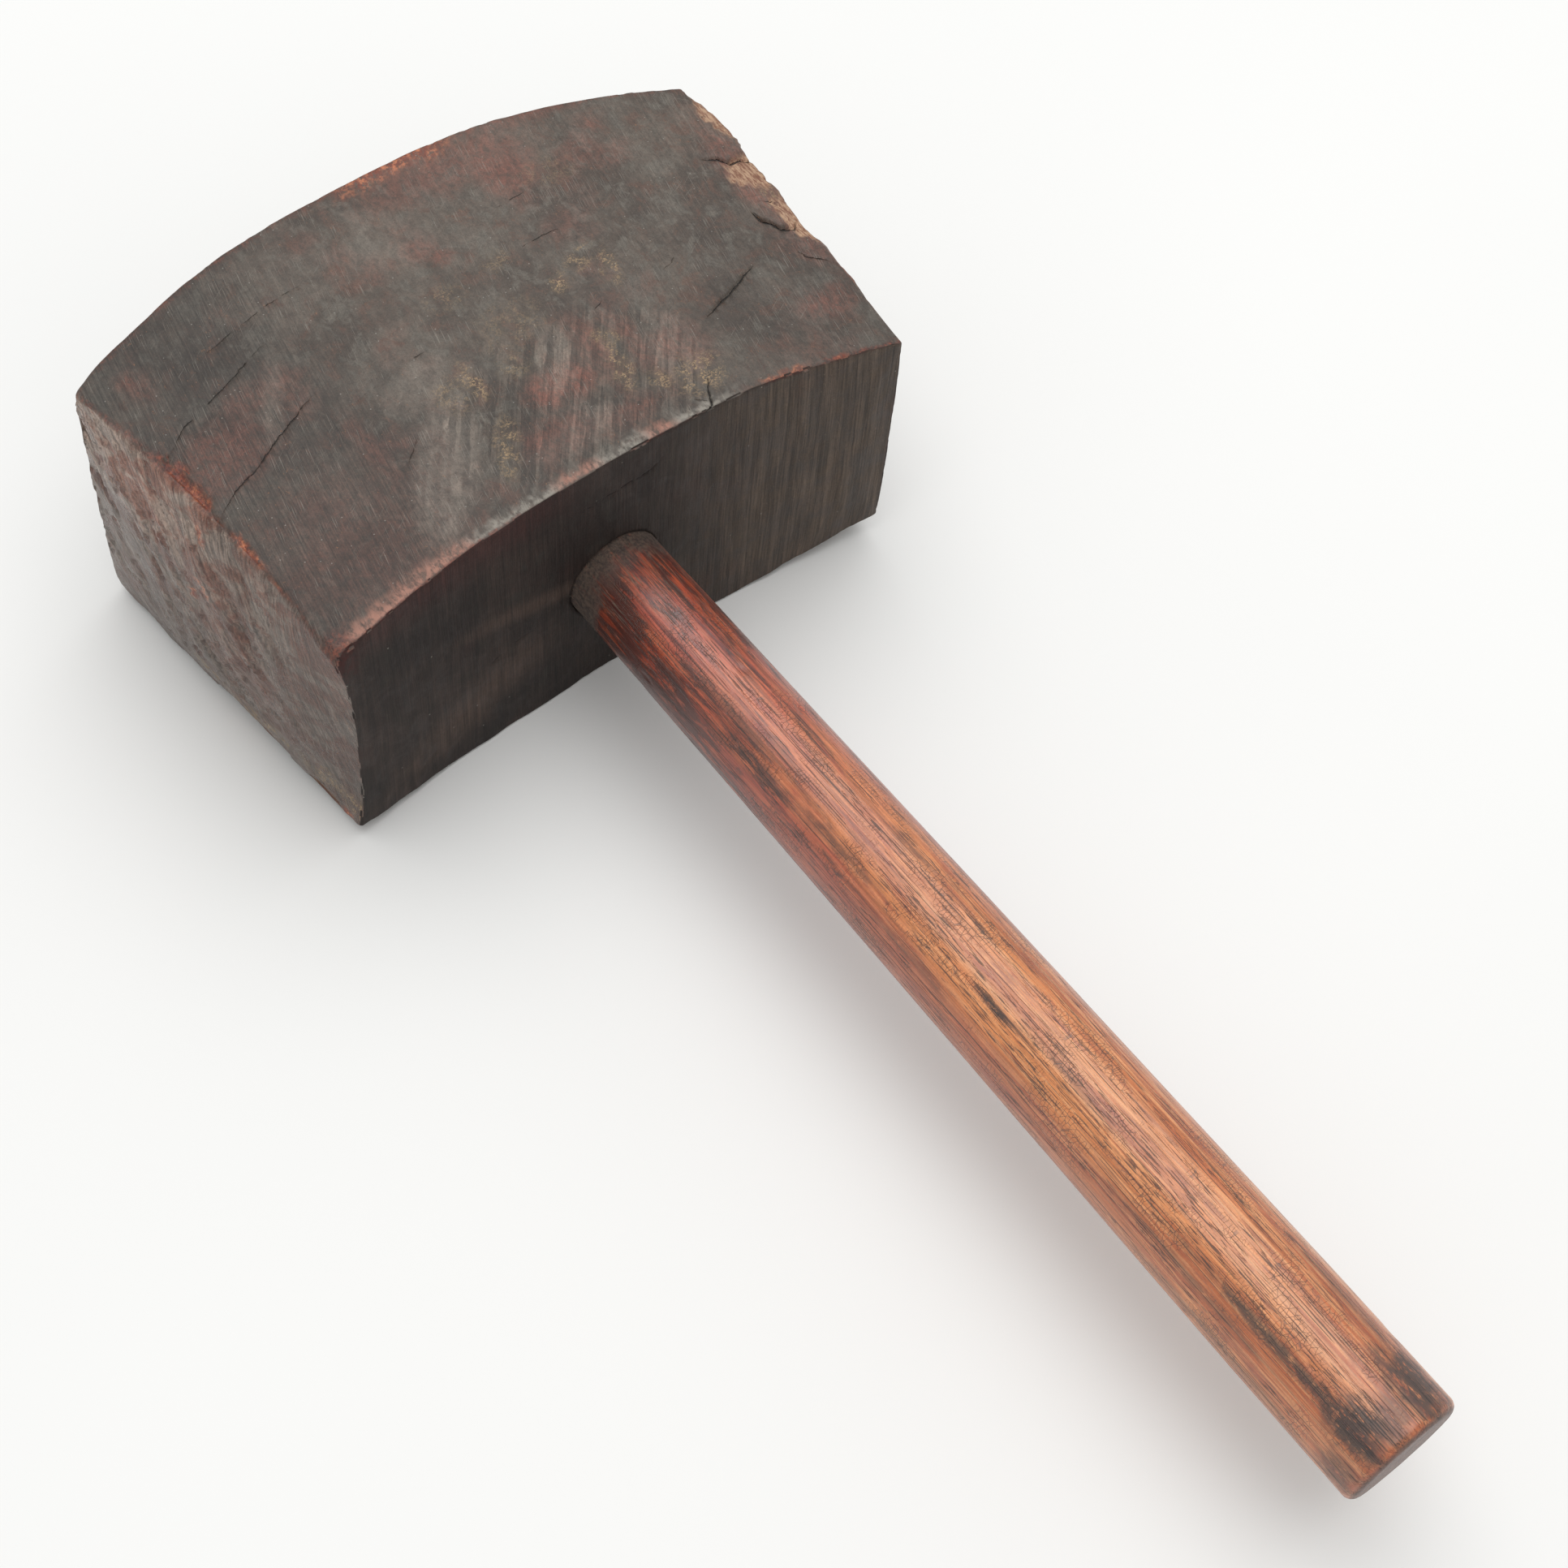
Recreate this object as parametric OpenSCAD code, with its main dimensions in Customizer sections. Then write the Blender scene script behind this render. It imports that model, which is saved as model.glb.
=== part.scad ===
// Large carpenter's mallet: an arched wooden head on a round, slightly tapered handle.
// The mallet lies on one cheek. +Z goes up through the cheeks, +X runs along the head from
// one striking face to the other, and the handle leaves the head's underside towards -Y.
// The origin is the middle of the flat that the head rests on.

/* [Head] */
// Chord of the arched crown, from one striking face to the other
crown_len = 207.5; // [160:0.5:240]
// Chord of the hollowed underside, from one striking face to the other
under_len = 189.5; // [140:0.5:220]
// Height of the head on the handle's axis, from the underside to the crown
head_height = 126.5; // [100:0.5:150]
// Rise of the crown's arch
crown_rise = 20; // [8:0.5:30]
// Depth of the underside's hollow
under_hollow = 8; // [3:0.5:14]
// Thickness of the head between its two cheeks
head_thickness = 97.5; // [75:0.5:120]
// Amount by which each cheek falls away at the ends of the head
cheek_drop = 7; // [2:0.5:9]
// Width of the flat in the middle of each cheek
cheek_flat = 90; // [60:1:120]
// Bulge of each striking face
face_bulge = 5; // [1:0.5:7]

/* [Handle] */
// Diameter of the handle where it enters the head, and of its tenon
tenon_d = 30.5; // [26:0.5:32]
// Diameter of the grip
grip_d = 35.5; // [33:0.5:40]
// Length of the handle below the head
handle_len = 322.5; // [250:0.5:380]
// Length of the grip's straight stretch, up to the rounded edge of the butt
grip_len = 40; // [20:1:90]
// Radius of the rounded edge at the butt
butt_round = 3; // [1:0.5:6]
// Distance of the handle's axis from the middle of the head's thickness, towards the floor
axis_drop = 4; // [0:0.5:6]
// Distance of the handle's axis from the middle of the head's length
axis_shift = 1; // [0:0.5:4]

/* [Wedge] */
// Length of the wedge, down the tenon
wedge_len = 46; // [30:1:60]
// Thickness of the wedge at the crown
wedge_thick = 4.5; // [3.5:0.5:6]
// Thickness of the wedge at its thin end
wedge_tip = 1.5; // [1:0.25:2]
// Depth of the saw cut beyond the thin end of the wedge
kerf_spare = 5; // [2:1:10]

/* [Hidden] */
$fn = 128;
clear = 20;
crown_y = head_height / 2;
under_y = -head_height / 2;
head_x = -axis_shift;
axis_z = head_thickness / 2 - axis_drop;

// Circle through the ends of a chord, for the arches and the bulges
function arc_r(chord, rise) = (chord * chord / 4 + rise * rise) / (2 * rise);

crown_r = arc_r(crown_len, crown_rise);
under_r = arc_r(under_len, under_hollow);

// Corners of the striking face at +X, at the underside and at the crown
face_low = [under_len / 2, under_y - under_hollow];
face_high = [crown_len / 2, crown_y - crown_rise];
face_mid = (face_low + face_high) / 2;
face_run = face_high - face_low;
face_tilt = atan2(face_run.x, face_run.y);
face_r = arc_r(norm(face_run), face_bulge);

// Curve of a cheek: it starts at the edge of the flat and drops by cheek_drop at the end
cheek_half = cheek_flat / 2;
cheek_span = pow(crown_len / 2, 2) - pow(cheek_half, 2);
cheek_depth = (cheek_span / cheek_drop + cheek_drop) / 2;
cheek_r = norm([cheek_depth, cheek_half]);

// Stations along the handle's axis, measured from the underside towards the butt
tenon_top = -(head_height - crown_r + sqrt(pow(crown_r, 2) - pow(tenon_d / 2, 2)));
grip_start = handle_len - butt_round - grip_len;
grip_end = handle_len - butt_round;
wedge_slope = (wedge_thick - wedge_tip) / wedge_len;

// Disc that bounds the striking face at +X
module face_disc() {
    translate(face_mid)
        rotate(-face_tilt)
            translate([face_bulge - face_r, 0])
                circle(r = face_r);
}

// Outline of the head seen from above: crown, hollowed underside and both striking faces
module head_outline() {
    difference() {
        intersection() {
            translate([-crown_len, face_low.y])
                square([2 * crown_len, head_height + under_hollow]);
            translate([0, crown_y - crown_r])
                circle(r = crown_r);
            face_disc();
            mirror([1, 0])
                face_disc();
        }
        translate([0, under_y - under_r])
            circle(r = under_r);
    }
}

// Section of the head across its length: flat in the middle, falling away to the ends
module cheek_section() {
    intersection() {
        translate([-crown_len, 0])
            square([2 * crown_len, head_thickness]);
        translate([0, head_thickness - cheek_depth])
            circle(r = cheek_r);
        translate([0, cheek_depth])
            circle(r = cheek_r);
    }
}

// Places its children so that their +Z runs along the handle, from the underside to the butt
module along_handle() {
    translate([0, under_y, axis_z])
        rotate([90, 0, 0])
            children();
}

// Tapered slip that fills the tenon's saw cut down to a given depth
module slip(depth) {
    tip = wedge_thick - wedge_slope * depth;
    translate([0, 0, tenon_top])
        rotate([90, 0, 0])
            translate([0, 0, -tenon_d])
                linear_extrude(2 * tenon_d)
                    polygon([
                        [-wedge_thick / 2, 0],
                        [wedge_thick / 2, 0],
                        [tip / 2, depth],
                        [-tip / 2, depth]
                    ]);
}

// Arched block with tilted striking faces, bored right through for the handle's tenon
module head() {
    color("#453a35")
        difference() {
            translate([head_x, 0, 0])
                intersection() {
                    translate([0, 0, -clear])
                        linear_extrude(head_thickness + 2 * clear)
                            head_outline();
                    rotate([90, 0, 0])
                        translate([0, 0, -head_height])
                            linear_extrude(2 * head_height)
                                cheek_section();
                }
            along_handle()
                translate([0, 0, -head_height - clear])
                    cylinder(d = tenon_d, h = head_height + 2 * clear);
        }
}

// Round bar: straight tenon, tapered shaft, straight grip and a rounded butt
module handle() {
    color("#8c4b2d")
        along_handle()
            difference() {
                rotate_extrude()
                    union() {
                        polygon([
                            [0, tenon_top],
                            [tenon_d / 2, tenon_top],
                            [tenon_d / 2, 0],
                            [grip_d / 2, grip_start],
                            [grip_d / 2, grip_end],
                            [grip_d / 2 - butt_round, grip_end],
                            [grip_d / 2 - butt_round, handle_len],
                            [0, handle_len]
                        ]);
                        intersection() {
                            translate([grip_d / 2 - butt_round, grip_end])
                                circle(r = butt_round);
                            translate([grip_d / 2 - butt_round, grip_end])
                                square(butt_round);
                        }
                    }
                slip(wedge_len + kerf_spare);
            }
}

// Hardwood wedge that spreads the tenon along the head's grain
module wedge() {
    color("#6f5138")
        along_handle()
            intersection() {
                slip(wedge_len);
                translate([0, 0, tenon_top])
                    cylinder(d = tenon_d, h = wedge_len);
            }
}

head();
handle();
wedge();
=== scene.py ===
import math

import bmesh
import bpy
import numpy as np
from mathutils import Matrix, Vector


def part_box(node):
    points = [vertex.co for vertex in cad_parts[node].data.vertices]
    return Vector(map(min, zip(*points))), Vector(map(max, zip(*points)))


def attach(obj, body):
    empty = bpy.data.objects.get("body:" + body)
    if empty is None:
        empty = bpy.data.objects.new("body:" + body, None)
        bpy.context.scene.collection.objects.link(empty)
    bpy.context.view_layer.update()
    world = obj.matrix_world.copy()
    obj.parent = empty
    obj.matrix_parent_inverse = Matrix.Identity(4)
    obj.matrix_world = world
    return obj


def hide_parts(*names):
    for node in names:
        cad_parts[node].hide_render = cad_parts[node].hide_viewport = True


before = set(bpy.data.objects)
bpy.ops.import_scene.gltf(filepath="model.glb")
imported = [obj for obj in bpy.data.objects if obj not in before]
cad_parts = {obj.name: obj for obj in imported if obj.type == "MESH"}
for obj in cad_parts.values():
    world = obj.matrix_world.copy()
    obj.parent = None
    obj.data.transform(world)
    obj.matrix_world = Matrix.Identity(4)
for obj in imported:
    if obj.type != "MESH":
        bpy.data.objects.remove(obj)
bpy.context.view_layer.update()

MM = 0.001
SEED = 11

# ---------------------------------------------------------------- sizes, in millimetres

head_low, head_high = (np.array(corner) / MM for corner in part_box("head"))
handle_low, handle_high = (np.array(corner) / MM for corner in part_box("handle"))
wedge_low, wedge_high = (np.array(corner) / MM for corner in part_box("wedge"))

THICKNESS = head_high[2]
CROWN_Y = head_high[1]
UNDER_Y = -CROWN_Y
HEAD_X = -1.0
CROWN_HALF, CROWN_RISE = 103.75, 20.0
UNDER_HALF, UNDER_HOLLOW = 94.75, 8.0
MEAN_HALF = (CROWN_HALF + UNDER_HALF) / 2
CHEEK_FLAT_HALF = 45.0
HALF = np.array([CROWN_HALF, CROWN_Y, THICKNESS / 2])

AXIS_X = (handle_low[0] + handle_high[0]) / 2
AXIS_Z = (handle_low[2] + handle_high[2]) / 2
GRIP_R = (handle_high[2] - handle_low[2]) / 2
TENON_R = (wedge_high[2] - wedge_low[2]) / 2
BUTT_Y = handle_low[1]
BUTT_ROUND = 3.0
GRIP_LEN = 40.0


# ---------------------------------------------------------------- noise and masks

OCTAVE_SHIFT = 17.3


def lattice(cell, seed):
    """Three pseudo-random numbers from -1 to 1 for each whole-number cell.
    The large constants only scramble the bits."""
    h = cell[..., 0] * 374761393 + cell[..., 1] * 668265263 + cell[..., 2] * 1440662683
    h = h + seed * 974634777
    h = h.astype(np.uint32)
    h = (h ^ (h >> np.uint32(13))) * np.uint32(1274126177)
    h = (h ^ (h >> np.uint32(15))) * np.uint32(2246822519)
    h = h ^ (h >> np.uint32(16))
    parts = [(h >> np.uint32(shift)) & np.uint32(1023) for shift in (0, 10, 20)]
    return np.stack(parts, -1) / 511.5 - 1.0


def perlin(places, seed=0):
    cell = np.floor(places).astype(np.int64)
    part = places - cell
    fade = part ** 3 * (part * (part * 6 - 15) + 10)
    total = np.zeros(len(places))
    for corner in np.ndindex(2, 2, 2):
        step = np.array(corner)
        slope = lattice(cell + step, seed)
        weight = np.prod(np.where(step == 1, fade, 1 - fade), axis=1)
        total += weight * np.sum(slope * (part - step), axis=1)
    return total * 1.5


def cloud(places, size, seed, octaves=4, gain=0.5):
    """Layered noise, about -1 to 1. size is one number, or a size along each axis."""
    scaled = places / np.array(size, float)
    total, weight, full = 0.0, 1.0, 0.0
    for octave in range(octaves):
        spots = scaled * 2.0 ** octave + OCTAVE_SHIFT * octave
        total = total + weight * perlin(spots, SEED + seed * 31 + octave)
        full += weight
        weight *= gain
    return total / full * 1.6


def ease(low, high, value):
    """0 below low, 1 above high, smooth between. low may be the higher number."""
    t = np.clip((value - low) / (high - low), 0, 1)
    return t * t * (3 - 2 * t)


def blob(u, v, middle, radii, turn=0.0, soft=0.35, ragged=0.0):
    """Soft ellipse mask. ragged is a noise field that breaks its outline."""
    c, s = math.cos(math.radians(turn)), math.sin(math.radians(turn))
    du, dv = u - middle[0], v - middle[1]
    a = (du * c + dv * s) / radii[0]
    b = (-du * s + dv * c) / radii[1]
    return ease(1 + soft, 1 - soft, np.sqrt(a * a + b * b) + ragged)


def line_distance(u, v, points):
    """Signed distance to a run of straight stretches, and how far along it, from 0 to 1."""
    points = np.array(points, float)
    lengths = np.hypot(*np.diff(points, axis=0).T)
    done, whole = 0.0, lengths.sum()
    best = np.full(len(u), 1e9)
    signed = np.zeros(len(u))
    along = np.zeros(len(u))
    for start, end, length in zip(points[:-1], points[1:], lengths):
        ahead = (end - start) / length
        reach = np.clip((u - start[0]) * ahead[0] + (v - start[1]) * ahead[1], 0, length)
        across = (u - start[0]) * ahead[1] - (v - start[1]) * ahead[0]
        gap = np.hypot(u - start[0] - reach * ahead[0], v - start[1] - reach * ahead[1])
        nearer = gap < best
        best = np.where(nearer, gap, best)
        signed = np.where(nearer, gap * np.sign(across), signed)
        along = np.where(nearer, (done + reach) / whole, along)
        done += length
    return signed, along


def add_object(name, data):
    made = bpy.data.objects.new(name, data)
    bpy.context.scene.collection.objects.link(made)
    return made


# ---------------------------------------------------------------- the head's shape

# Drying cracks on the upper cheek: points (x, y), half width, depth.
CHEEK_CRACKS = [
    ([(-96, -15.5), (-88, -11), (-80, -8.4), (-66, -2), (-53, 3.4)], 0.26, 0.9),
    ([(-96, 10), (-88, 15), (-76, 18.6), (-66, 22), (-53, 27)], 0.20, 0.7),
    ([(-76, 31.6), (-60, 34.5), (-47, 36.6), (-33, 38), (-22, 38)], 0.15, 0.4),
    ([(-48, -33), (-43, -29), (-37, -24)], 0.14, 0.4),
    ([(-33, -4), (-27, -2.5), (-20, -2)], 0.16, 0.4),
    ([(-15, 17), (-4, 19), (10, 20)], 0.13, 0.3),
    ([(24, 30), (36.4, 30.8)], 0.20, 0.5),
    ([(21, 13.6), (29, 14.2), (37, 13.6)], 0.17, 0.5),
    ([(44, -1), (54, -1)], 0.17, 0.4),
    ([(50, -37), (56, -34.4), (62, -32.4), (68, -29.8), (76, -26)], 0.34, 1.2),
    ([(20, -18), (25, -17.5), (31, -15)], 0.16, 0.5),
    ([(46, -17), (55, -14), (62, -10)], 0.12, 0.3),
    ([(29, -67), (33, -62), (35, -57.5), (38, -54)], 0.26, 0.8),
    ([(33, -62), (29, -58)], 0.15, 0.4),
    ([(-51, -7), (-35, -4.5), (-20, -2)], 0.10, 0.2),
]
# Cracks that lift the flakes at the right-hand arris of the upper cheek.
FLAKE_CRACKS = [
    ([(88, 15.8), (92, 14), (95, 11), (99, 10.6), (102.5, 8.5)], 0.42, 1.5),
    ([(88, -8.6), (88.6, -13), (91.5, -18.6), (95.5, -20), (98, -17.5)], 0.48, 1.8),
    ([(90.5, -28), (91.2, -31), (93.5, -33.4), (96.4, -36)], 0.24, 0.9),
    ([(93, -6), (95, -7.5), (98, -8)], 0.2, 0.6),
]
# Cracks on the underside: points (x, z).
UNDER_CRACKS = [
    ([(-13, 82.5), (0, 82.2), (8, 82.8), (12, 84), (16, 87.5)], 0.22, 0.7),
    ([(-27, 43), (-36, 42), (-48, 38)], 0.14, 0.3),
]
# Lower cheek and crown, out of view: the same kind of cracks along the grain.
LOWER_CRACKS = [
    ([(-80, 20), (-55, 14), (-30, 13)], 0.30, 1.0),
    ([(12, -28), (34, -31), (62, -39)], 0.34, 1.2),
    ([(50, 28), (74, 22)], 0.26, 0.8),
]
CROWN_CRACKS = [
    ([(-70, 62), (-48, 58), (-22, 57)], 0.32, 1.1),
    ([(24, 35), (52, 33), (83, 37)], 0.34, 1.2),
    ([(-40, 22), (-12, 24)], 0.24, 0.7),
]
CRACK_LISTS = [
    ("top", (0, 1), CHEEK_CRACKS + FLAKE_CRACKS),
    ("under", (0, 2), UNDER_CRACKS),
    ("base", (0, 1), LOWER_CRACKS),
    ("crown", (0, 2), CROWN_CRACKS),
]
CRACK_REACH = 1.7
GRID_X, GRID_YZ = 0.85, 1.75
ARRIS_STATIONS = (0.0, 0.35, 0.8, 1.35, 2.1, 3.2)
BORE_R = TENON_R + 0.55
BORE_BLOCK = 26.0
BORE_SQUARE = 13.0


def stations(half, step):
    """Grid lines from -half to half, closer together next to the arrises."""
    core = half - ARRIS_STATIONS[-1]
    count = round(2 * core / step)
    inner = np.linspace(-core, core, count + 1)
    edge = half - np.array(ARRIS_STATIONS[:-1])
    return np.concatenate([-edge, inner, edge[::-1]])


def box_grid():
    """A closed block of quads, in box millimetres, with a square left out of the underside and
    the crown where the bore goes."""
    lines = [stations(HALF[0], GRID_X), stations(HALF[1], GRID_YZ), stations(HALF[2], GRID_YZ)]
    counts = [len(line) for line in lines]
    index, places, faces = {}, [], []

    def vertex(i, j, k):
        key = (i, j, k)
        if key not in index:
            index[key] = len(places)
            places.append((lines[0][i], lines[1][j], lines[2][k]))
        return index[key]

    bore = np.array([AXIS_X - HEAD_X, AXIS_Z - THICKNESS / 2])
    for fixed in range(3):
        a, b = [axis for axis in range(3) if axis != fixed]
        for side in (0, counts[fixed] - 1):
            for m in range(counts[a] - 1):
                for n in range(counts[b] - 1):
                    if fixed == 1:
                        u = (lines[0][m] + lines[0][m + 1]) / 2 - bore[0]
                        v = (lines[2][n] + lines[2][n + 1]) / 2 - bore[1]
                        if max(abs(u), abs(v)) < BORE_SQUARE:
                            continue
                    corners = []
                    for dm, dn in ((0, 0), (1, 0), (1, 1), (0, 1)):
                        place = [0, 0, 0]
                        place[fixed], place[a], place[b] = side, m + dm, n + dn
                        corners.append(vertex(*place))
                    outward = (side > 0) == (fixed != 1)
                    faces.append(corners if outward else corners[::-1])
    return np.array(places), faces


def round_bore_square(q):
    """Turns the square gap in the grid into a round hole, and eases the quads around it."""
    out = q.copy()
    on_side = np.abs(np.abs(q[:, 1]) - HALF[1]) < 0.01
    du = q[:, 0] - (AXIS_X - HEAD_X)
    dv = q[:, 2] - (AXIS_Z - THICKNESS / 2)
    near = on_side & (np.maximum(np.abs(du), np.abs(dv)) < BORE_BLOCK)
    u, v = du[near], dv[near]
    square = np.maximum(np.abs(u), np.abs(v))
    inner = square.min()
    wide = np.abs(u) >= np.abs(v)
    ratio = np.where(wide, v / np.where(u == 0, 1, u), u / np.where(v == 0, 1, v))
    angle = np.where(wide, ratio * math.pi / 4, math.pi / 2 - ratio * math.pi / 4)
    sign = np.where(wide, np.sign(u), np.sign(v))
    target = (BORE_R + (square - inner) * 0.62)[:, None] * np.stack([np.cos(angle), np.sin(angle)], -1)
    target *= sign[:, None]
    share = ease(inner, BORE_BLOCK, square)[:, None]
    moved = target * (1 - share) + np.stack([u, v], -1) * share
    out[near, 0] = moved[:, 0] + AXIS_X - HEAD_X
    out[near, 2] = moved[:, 1] + AXIS_Z - THICKNESS / 2
    return out


def arris_radius(q):
    """Radius of the worn arris nearest to each point."""
    x, y, z = q.T
    r = 1.05 + 0.45 * cloud(q, 22, 3, 3)
    left = ease(-90, -101, x)
    top = ease(40, 47, z)
    middle = ease(48, 25, y)
    r += left * top * middle * (1.3 + 0.8 * cloud(q, 9, 5, 3))
    r += left * ease(-50, -62, y) * top * 2.0
    r += left * ease(-40, -47, z) * ease(30, 55, y) * 4.0
    r += ease(-94, -102, x) * ease(54, 61, y) * top * 1.6
    r += ease(-94, -102, x) * ease(-54, -61, y) * (1.0 + 0.8 * cloud(q, 12, 6, 2))
    return np.clip(r, 0.6, 6.0)


def worn_box(q):
    """Rounds the box's arrises. Returns the new places and the outward direction of each."""
    r = arris_radius(q)[:, None]
    core = np.clip(q, -(HALF - r), HALF - r)
    out = q - core
    length = np.linalg.norm(out, axis=1, keepdims=True)
    direction = out / np.maximum(length, 1e-9)
    return core + r * direction, direction


def sag(x, half, rise):
    """How far an arc of that half width and rise has fallen at x from its top."""
    radius = (half * half + rise * rise) / (2 * rise)
    return radius - np.sqrt(radius * radius - np.minimum(np.abs(x), half + 3) ** 2)


def arch(q):
    """Bends the worn block into the arched head, in the shared frame and in millimetres."""
    s, v, w = (q / HALF).T
    t = (v + 1) / 2
    end = UNDER_HALF + np.where(s > 0, 1.2 * (1 - t), 1.5 * t) + (CROWN_HALF - UNDER_HALF) * t
    x = s * MEAN_HALF + (end - MEAN_HALF) * s ** 3
    middle = 1 - np.clip(v, -1, 1) ** 2
    across = np.clip(w, -1, 1)
    pillow = 3.8 * (1 - across ** 2) + 0.4
    left_wear = np.where(across > 0, 4.2, 1.2) * across ** 4
    right_wear = np.where(across > 0, 0.4, 1.4) * across ** 4
    bulge = middle * (pillow - np.where(s < 0, left_wear, right_wear))
    bowed = 3.2 * (1 - np.clip(np.abs(w + 0.05), 0, 1) ** 2.5) - 1.0 * ease(0.5, 0.95, w)
    bulge -= np.where(s < 0, bowed, 0.0) * ease(-0.55, -1.0, v)
    shoulder = 1.3 * ease(0.0, 0.25, t)
    for where, swell in ((0.85, 2.7), (0.64, 0.9)):
        shoulder = shoulder + swell * np.exp(-((t - where) / 0.10) ** 2)
    bulge += np.where(s > 0, shoulder, 0.0) * ease(1.0, 0.93, t) * ease(0.1, 0.9, w)
    x = x + np.sign(s) * np.abs(s) ** 9 * bulge
    belly = 1.6 * (1 - across ** 2) * ease(30, 95, np.abs(x))
    under = UNDER_Y - sag(x, UNDER_HALF, UNDER_HOLLOW) - belly
    crown = CROWN_Y - sag(x, CROWN_HALF, CROWN_RISE) * np.where(x < 0, 0.90, 0.98) - 0.1 * across ** 2
    y = under + (crown - under) * t
    reach = np.maximum(0, (x ** 2 - CHEEK_FLAT_HALF ** 2) / (CROWN_HALF ** 2 - CHEEK_FLAT_HALF ** 2))
    top = np.where(x < 0, 7.0 - 1.5 * t, 9.5 - 3.4 * t)
    base = np.where(x < 0, 6.2 - 5.6 * t, 11.0 - 3.5 * t)
    lift = np.minimum(reach, 1.05) * np.where(across > 0, top, base)
    z = THICKNESS / 2 + w * (THICKNESS / 2 - lift)
    return np.stack([x + HEAD_X, y, z], -1)


def face_shares(n):
    """How much each point belongs to the upper cheek, lower cheek, underside, crown and ends."""
    return {
        "top": np.clip(n[:, 2], 0, 1) ** 2,
        "base": np.clip(-n[:, 2], 0, 1) ** 2,
        "under": np.clip(-n[:, 1], 0, 1) ** 2,
        "crown": np.clip(n[:, 1], 0, 1) ** 2,
        "left": np.clip(-n[:, 0], 0, 1) ** 2,
        "right": np.clip(n[:, 0], 0, 1) ** 2,
    }


def all_cracks(places, share):
    """Cut depth, signed distance to the nearest crack (0 on its line), and its strength.
    The distance is kept smooth, so the material can paint the crack's line of shade finer than the mesh."""
    count = len(places)
    cut, distance, strength = np.zeros(count), np.full(count, 99.0), np.zeros(count)
    for side, axes, cracks in CRACK_LISTS:
        on_side = share[side] > 0.3
        p = places[on_side]
        u = p[:, axes[0]] + 0.35 * cloud(p, 4.0, 40, 2)
        v = p[:, axes[1]] + 0.35 * cloud(p, 4.0, 41, 2)
        for points, half_width, deep in cracks:
            signed, along = line_distance(u, v, points)
            gap = np.abs(signed)
            taper = np.sqrt(np.clip(np.minimum(along, 1 - along) * 4, 0, 1))
            width = half_width * (0.35 + 0.65 * taper)
            nearer = gap < np.abs(distance[on_side])
            distance[on_side] = np.where(nearer, signed, distance[on_side])
            broken = ease(-0.5, 0.1, cloud(p, 5, 42, 3) + 3 * (half_width - 0.2))
            near = ease(1.3, 0.8, gap) * taper * np.clip(width / 0.26, 0, 1.6) * broken
            strength[on_side] = np.where(nearer, near, strength[on_side])
            groove = ease(width + 0.4, 0.05, gap) * taper * broken * 0.7 * deep
            cut[on_side] = np.maximum(cut[on_side], groove)
    return cut, np.clip(distance, -3, 3), strength


def crack_zone(places, share):
    """True close to any crack, where the mesh is made finer."""
    near = np.zeros(len(places), bool)
    for side, axes, cracks in CRACK_LISTS:
        for points, _, _ in cracks:
            signed, _ = line_distance(places[:, axes[0]], places[:, axes[1]], points)
            near |= (np.abs(signed) < CRACK_REACH) & (share[side] > 0.5)
    return near


def chips(places, share):
    """Broken-away wood: depth of the loss, then masks of bare wood, low chips and ragged ledge."""
    x, y, z = places.T
    rag = 0.30 * cloud(places, 5, 60, 3)
    torn = 0.22 * cloud(places, 1.8, 61, 3)
    end = np.maximum(share["top"], share["right"])
    top_edge = ease(78, 84, z)
    corner = blob(x, y, (105.4, 28.0), (4.8, 12.0), 4, 0.12, rag + torn) * top_edge * end
    notch = blob(x, y, (99.5, 5.0), (7.4, 6.6), -32, 0.10, rag + torn)
    notch = notch * ease(14.5, 12.5, y + 0.40 * (x - 98)) * top_edge * end
    scab = blob(x, y, (99.6, -17.5), (4.8, 10.0), 14, 0.12, rag + torn) * top_edge * end
    ledge = blob(x, y, (-99.6, -1.0), (5.2, 15.0), 5, 0.12, 1.1 * rag + 1.6 * torn) * share["top"]
    spot = blob(x, y, (-98.0, -29), (3.4, 9.0), 2, 0.14, rag + 2 * torn) * share["top"]
    low = ease(12, 5, z) * share["left"]
    low_a = blob(y, z, (-22, 4), (15, 8), 0, 0.25, rag) * low
    low_b = blob(y, z, (-54, 3), (8, 7), 0, 0.25, rag) * low
    depth = 1.0 * corner + 0.9 * notch + 0.7 * scab + 1.5 * ledge
    depth = depth + 1.1 * spot + 1.6 * low_a + 1.2 * low_b
    fibre = 0.30 * cloud(places, (1.2, 6.0, 1.2), 62, 3)
    bare = np.clip(corner + notch + scab, 0, 1)
    ragged = 0.8 * cloud(places, (2.0, 3.0, 2.0), 63, 3) * np.maximum(ledge, spot)
    low_chip = np.clip(low_a + low_b, 0, 1)
    return depth + bare * fibre + ragged, bare, low_chip, np.maximum(ledge, 0.7 * spot)


def flakes(places, share):
    """Lifted flakes of old surface behind the cracks at the right-hand arris."""
    x, y, _ = places.T
    rag = 0.2 * cloud(places, 4, 64, 3)
    first = blob(x, y, (96.5, 16.5), (5.5, 4.5), -20, 0.4, rag)
    second = blob(x, y, (93.3, -14.0), (3.6, 4.6), 0, 0.3, rag)
    third = blob(x, y, (96.5, -33), (4.0, 3.4), 0, 0.5, rag)
    return share["top"] * (0.9 * first + 1.1 * second + 0.5 * third)


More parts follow.
